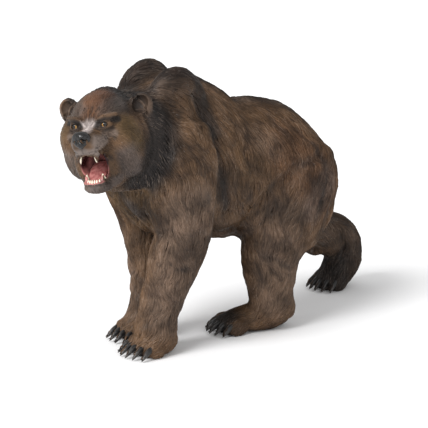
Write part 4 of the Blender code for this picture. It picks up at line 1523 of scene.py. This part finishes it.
tongueShape = {
    "stations": (
        ((-4.2, 0.0, -6.6), 2.6, 1.1),
        ((-6.6, 0.0, -8.2), 3.2, 1.2),
        ((-9.2, 0.0, -10.0), 3.0, 1.0),
        ((-11.4, 0.0, -11.7), 2.1, 0.65),
        ((-12.7, 0.0, -11.9), 1.2, 0.45),
    ),
    "sides": 20,
    "steps": 5,
    "groove": 0.35,
}


def ballMesh(name, sides):
    bm = bmesh.new()
    bmesh.ops.create_uvsphere(bm, u_segments=sides, v_segments=sides // 2, radius=1.0)
    mesh = bpy.data.meshes.new(name)
    bm.to_mesh(mesh)
    bm.free()
    mesh.shade_smooth()
    return mesh


def makeEye(side, hand, material):
    mesh = ballMesh("eye" + side, 40)
    points = readPoints(mesh)
    gaze = np.array(eyeShape["gaze"]) * (1, hand, 1)
    gaze /= np.linalg.norm(gaze)
    facing = np.clip(points @ gaze, -1, 1)
    storeValues(mesh, "offGaze", np.arccos(facing))
    cornea = np.clip((facing - math.cos(eyeShape["iris"])) / (1 - math.cos(eyeShape["iris"])), 0, 1)
    radii = eyeShape["radius"] * (1 + 0.05 * easeIn(cornea))
    x, y, z = headPlace["eye"]
    inHead = points * radii[:, None] + np.array((x, y * hand, z))
    writePoints(mesh, toWorld(fromHead(inHead)))
    piece = newObject("eye" + side, mesh)
    finishPiece(piece, material, ("eye_left" if hand < 0 else "eye_right",))


# A lid: a thick shell over the ball, from its edge to well inside the socket
def lidPoints(hand, edge, far):
    gaze = Vector(eyeShape["gaze"]) * 1
    gaze.y *= hand
    gaze.normalize()
    outwards = Vector((0, hand, 0)) - gaze * gaze.y * hand
    outwards.normalize()
    upwards = Vector((0, 0, 1)) - gaze * gaze.z
    upwards.normalize()
    reach = eyeShape["lidReach"][0]
    inner, outer = (share * eyeShape["radius"] for share in eyeShape["lidThickness"])
    columns, rows = 24, 8
    layers = []
    for radius in (inner, outer):
        layer = []
        for i in range(columns + 1):
            across = 2 * i / columns - 1
            middle, slant = edge
            start = eyeShape["corner"] + (middle - eyeShape["corner"]) * (1 - across**2) + slant * across
            for k in range(rows + 1):
                turn = math.radians(start + (far - start) * k / rows)
                aside = math.radians(reach * across)
                flat = gaze * math.cos(aside) + outwards * math.sin(aside)
                layer.append((flat * math.cos(turn) + upwards * math.sin(turn)) * radius)
        layers.append(layer)
    return layers, columns, rows


def makeLid(hand, edge, far, colour):
    layers, columns, rows = lidPoints(hand, edge, far)
    x, y, z = headPlace["eye"]
    middle = Vector((x, y * hand, z))
    points = [middle + point for layer in layers for point in layer]
    count = len(layers[0])
    faces = []
    for i in range(columns):
        for k in range(rows):
            a = i * (rows + 1) + k
            quad = (a, a + 1, a + rows + 2, a + rows + 1)
            faces += [quad, tuple(count + corner for corner in reversed(quad))]
    rim = [i * (rows + 1) for i in range(columns + 1)]
    rim += [columns * (rows + 1) + k for k in range(1, rows + 1)]
    rim += [i * (rows + 1) + rows for i in reversed(range(columns))]
    rim += list(range(rows - 1, 0, -1))
    for a, b in zip(rim, rim[1:] + rim[:1]):
        faces.append((a, b, b + count, a + count))
    mesh = meshFrom("lid", toWorld(fromHead([tuple(point) for point in points])), faces)
    storePaint(mesh, np.tile(np.array(colours[colour]), (len(points), 1)))
    storeValues(mesh, "crest", np.full(len(points), 0.6))
    storeValues(mesh, "streak", np.full(len(points), 0.5))
    return newObject("lid", mesh)


def makeLids(material):
    far = eyeShape["lidReach"][1]
    lids = []
    for hand in (-1, 1):
        lids.append(makeLid(hand, eyeShape["upperLid"], far, "soot"))
        lids.append(makeLid(hand, eyeShape["lowerLid"], -far, "grey"))
    finishPiece(joined("eyelids", lids), material)


def eyeMaterial():
    material, tree, shader = newMaterial("amberEye", Roughness=0.14, Specular_IOR_Level=0.5)
    offGaze = attributeOf(tree, "offGaze").outputs["Fac"]
    scaled = addNode(tree, "ShaderNodeMath", {0: offGaze, 1: math.pi}, operation="DIVIDE")
    ramp = addNode(tree, "ShaderNodeValToRGB", {"Fac": scaled.outputs[0]})
    stops = ramp.color_ramp.elements
    pupil = eyeShape["pupil"] / math.pi
    iris = eyeShape["iris"] / math.pi
    stops[0].position = pupil
    stops[0].color = (0.006, 0.005, 0.005, 1)
    stops[1].position = pupil + 0.015
    stops[1].color = (0.26, 0.13, 0.04, 1)
    rings = (
        (iris - 0.03, (0.46, 0.27, 0.09, 1)),
        (iris, (0.05, 0.02, 0.012, 1)),
        (iris + 0.05, (0.30, 0.20, 0.15, 1)),
    )
    for position, colour in rings:
        stops.new(position).color = colour
    tree.links.new(ramp.outputs["Color"], shader.inputs["Base Color"])
    return material


def makeNose(material):
    shape = noseShape
    mesh = ballMesh("nose", 80)
    points = readPoints(mesh)
    power = shape["squareness"]
    points /= (np.abs(points) ** power).sum(axis=1)[:, None] ** (1 / power)
    points[:, 1] *= np.interp(points[:, 2], shape["levels"], shape["widths"])
    points *= np.array(shape["radii"])
    points[:, 0] += shape["under"] * np.clip(-points[:, 2] / shape["radii"][2], 0, 1) ** 2
    points += np.array(shape["middle"])
    writePoints(mesh, points)
    normals = readNormals(mesh)
    hollow = np.zeros(len(points))
    for path in bothSides(shape["nostril"], True):
        hollow = np.maximum(hollow, easeIn(1.3 - 1.3 * pathDistance(points, path) / shape["nostrilRadius"]))
    groove = easeIn(1 - pathDistance(points, shape["groove"]) / shape["grooveRadius"])
    push = shape["nostrilDepth"] * hollow + shape["grooveDepth"] * groove
    storeValues(mesh, "hollow", np.maximum(hollow, 0.6 * groove))
    writePoints(mesh, toWorld(fromHead(points + normals * push[:, None])))
    keepInBox(mesh)
    finishPiece(newObject("noseLeather", mesh), material, ("nose",))


def noseMaterial():
    material, tree, shader = newMaterial("blackNose", Roughness=0.26, Specular_IOR_Level=0.4)
    place = addNode(tree, "ShaderNodeTexCoord").outputs["Object"]
    cells = addNode(tree, "ShaderNodeTexVoronoi", {"Vector": place, "Scale": 2600.0})
    tint = addNode(
        tree,
        "ShaderNodeMix",
        {"Factor": cells.outputs["Distance"], 6: (0.005, 0.005, 0.005, 1), 7: (0.016, 0.015, 0.015, 1)},
        data_type="RGBA",
    )
    # The nostrils and the groove are made darker still: painted shade in the hollows
    hollow = attributeOf(tree, "hollow").outputs["Fac"]
    dark = addNode(
        tree, "ShaderNodeMix", {"Factor": hollow, 6: tint.outputs[2], 7: (0.002, 0.002, 0.002, 1)}, data_type="RGBA"
    )
    tree.links.new(dark.outputs[2], shader.inputs["Base Color"])
    addBump(tree, shader, cells.outputs["Distance"], 0.00005, 0.5)
    return material


def makeTongue(material):
    rows = [(*centre, *sizes) for centre, *sizes in tongueShape["stations"]]
    spots = np.linspace(0, len(rows) - 1, (len(rows) - 1) * tongueShape["steps"] + 1)
    table = np.array(rows, float)
    smooth = np.column_stack([np.interp(spots, range(len(rows)), table[:, column]) for column in range(5)])
    sides = tongueShape["sides"]
    points = []
    for x, y, z, halfWidth, thick in smooth:
        for i in range(sides):
            angle = 2 * math.pi * i / sides
            across = math.cos(angle)
            up = math.sin(angle)
            dip = tongueShape["groove"] * max(up, 0) * math.exp(-((across / 0.35) ** 2))
            points.append((x - 0.3 * thick * up, y + halfWidth * across, z + thick * up - dip))
    faces = [tuple(range(sides)), tuple(range(len(points) - sides, len(points)))]
    for k in range(len(smooth) - 1):
        for i in range(sides):
            a = k * sides + i
            b = k * sides + (i + 1) % sides
            faces.append((a, b, b + sides, a + sides))
    mesh = meshFrom("tongueFlesh", toWorld(fromHead(points)), faces)
    piece = newObject("tongueFlesh", mesh)
    finer = piece.modifiers.new("finer", "SUBSURF")
    finer.levels = 1
    finer.render_levels = 1
    settle(piece)
    finishPiece(piece, material, ("tongue",))


def tongueMaterial():
    material, tree, shader = newMaterial("pinkTongue", Roughness=0.3, Coat_Weight=0.3, Coat_Roughness=0.2)
    place = addNode(tree, "ShaderNodeTexCoord").outputs["Object"]
    grain = addNode(tree, "ShaderNodeTexNoise", {"Vector": place, "Scale": 900.0, "Detail": 3.0})
    ramp = addNode(tree, "ShaderNodeValToRGB", {"Fac": grain.outputs["Fac"]})
    ramp.color_ramp.elements[0].color = (0.30, 0.085, 0.080, 1)
    ramp.color_ramp.elements[0].position = 0.35
    ramp.color_ramp.elements[1].color = (0.50, 0.20, 0.185, 1)
    ramp.color_ramp.elements[1].position = 0.65
    tree.links.new(ramp.outputs["Color"], shader.inputs["Base Color"])
    addBump(tree, shader, grain.outputs["Fac"], 0.00008, 0.5)
    return material


# Floor, light and camera

cameraShape = {
    "azimuth": -43.0,
    "elevation": 13.0,
    "distance": 700.0,
    "aim": (17.25, -20.17, 48.0),
    "pixelsPerMm": 3.0,  # at the aim, of a picture 428 pixels wide
    "pixels": 428,
    "sensor": 36.0,
}


def addCamera():
    shape = cameraShape
    azimuth, elevation = math.radians(shape["azimuth"]), math.radians(shape["elevation"])
    back = Vector((
        math.sin(azimuth) * math.cos(elevation),
        -math.cos(azimuth) * math.cos(elevation),
        math.sin(elevation),
    ))
    camera = bpy.data.objects.new("camera", bpy.data.cameras.new("camera"))
    bpy.context.scene.collection.objects.link(camera)
    camera.location = Vector(toWorld(shape["aim"])) + back * shape["distance"] * mm
    camera.rotation_euler = (-back).to_track_quat("-Z", "Y").to_euler()
    camera.data.sensor_width = shape["sensor"]
    camera.data.lens = shape["pixelsPerMm"] * shape["distance"] / shape["pixels"] * shape["sensor"]
    camera.data.clip_start = 0.01
    camera.data.clip_end = 50.0
    bpy.context.scene.camera = camera


def addSoftbox(name, where, aim, size, watts):
    light = bpy.data.lights.new(name, "AREA")
    light.shape = "DISK"
    light.size = size
    light.energy = watts
    lamp = bpy.data.objects.new(name, light)
    bpy.context.scene.collection.objects.link(lamp)
    lamp.location = where
    lamp.rotation_euler = (Vector(where) - Vector(aim)).to_track_quat("Z", "Y").to_euler()


studioShape = {
    "floor": (0.95, 0.95, 0.955, 1),
    "sky": 0.70,
    "keyFrom": (-0.82, -0.06, 0.62),
    "keyStrength": 3.1,
    "keyAngle": 32,  # degrees across, for soft shadows
    "fillFrom": (-0.25, -0.9, 0.5),
    "fillSize": 0.5,
    "fillWatts": 1.0,
}


def addKey():
    light = bpy.data.lights.new("key", "SUN")
    light.energy = studioShape["keyStrength"]
    light.angle = math.radians(studioShape["keyAngle"])
    lamp = bpy.data.objects.new("key", light)
    bpy.context.scene.collection.objects.link(lamp)
    lamp.location = studioShape["keyFrom"]
    lamp.rotation_euler = Vector(studioShape["keyFrom"]).to_track_quat("Z", "Y").to_euler()


def addStudio():
    bm = bmesh.new()
    bmesh.ops.create_grid(bm, x_segments=1, y_segments=1, size=20.0)
    mesh = bpy.data.meshes.new("floor")
    bm.to_mesh(mesh)
    bm.free()
    floor = newObject("floor", mesh)
    material, _, _ = newMaterial("paleFloor", Base_Color=studioShape["floor"], Roughness=0.9)
    mesh.materials.append(material)
    world = bpy.data.worlds.new("studio")
    bpy.context.scene.world = world
    world.use_nodes = True
    sky = world.node_tree.nodes["Background"]
    sky.inputs["Color"].default_value = (1.0, 1.0, 1.0, 1)
    sky.inputs["Strength"].default_value = studioShape["sky"]
    addKey()
    addSoftbox("fill", studioShape["fillFrom"], (0, 0, 0.05), studioShape["fillSize"], studioShape["fillWatts"])
    bpy.context.scene.view_settings.view_transform = "Standard"


def main():
    addCamera()
    skin = makeSkin()
    paintSkin(skin)
    relief = reliefShadeAndHighlight()
    makeCoat(skin, coatMaterial(relief))
    hidden = [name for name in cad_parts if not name.startswith(("eye_", "tongue", "nose"))]
    hide = skinMaterial(relief)
    finishPiece(skin, hide, hidden)
    planting = plantTree()
    tooth = toothMaterial()
    plant("upperTeeth", planting, list(toothRows(teeth["upper"], -1)), 0.12, 2.2, tooth)
    plant("lowerTeeth", planting, list(toothRows(teeth["lower"], 1)), 0.12, 2.2, tooth)
    clawBend = clawShape["drop"] / (clawShape["radius"] * 2)
    plant("claws", planting, list(clawRows()), clawBend, 3.0, clawMaterial())
    eyes = eyeMaterial()
    makeEye("Left", -1, eyes)
    makeEye("Right", 1, eyes)
    makeLids(hide)
    makeNose(noseMaterial())
    makeTongue(tongueMaterial())
    print("loose pieces made")
    addStudio()


main()
bpy.context.view_layer.update()
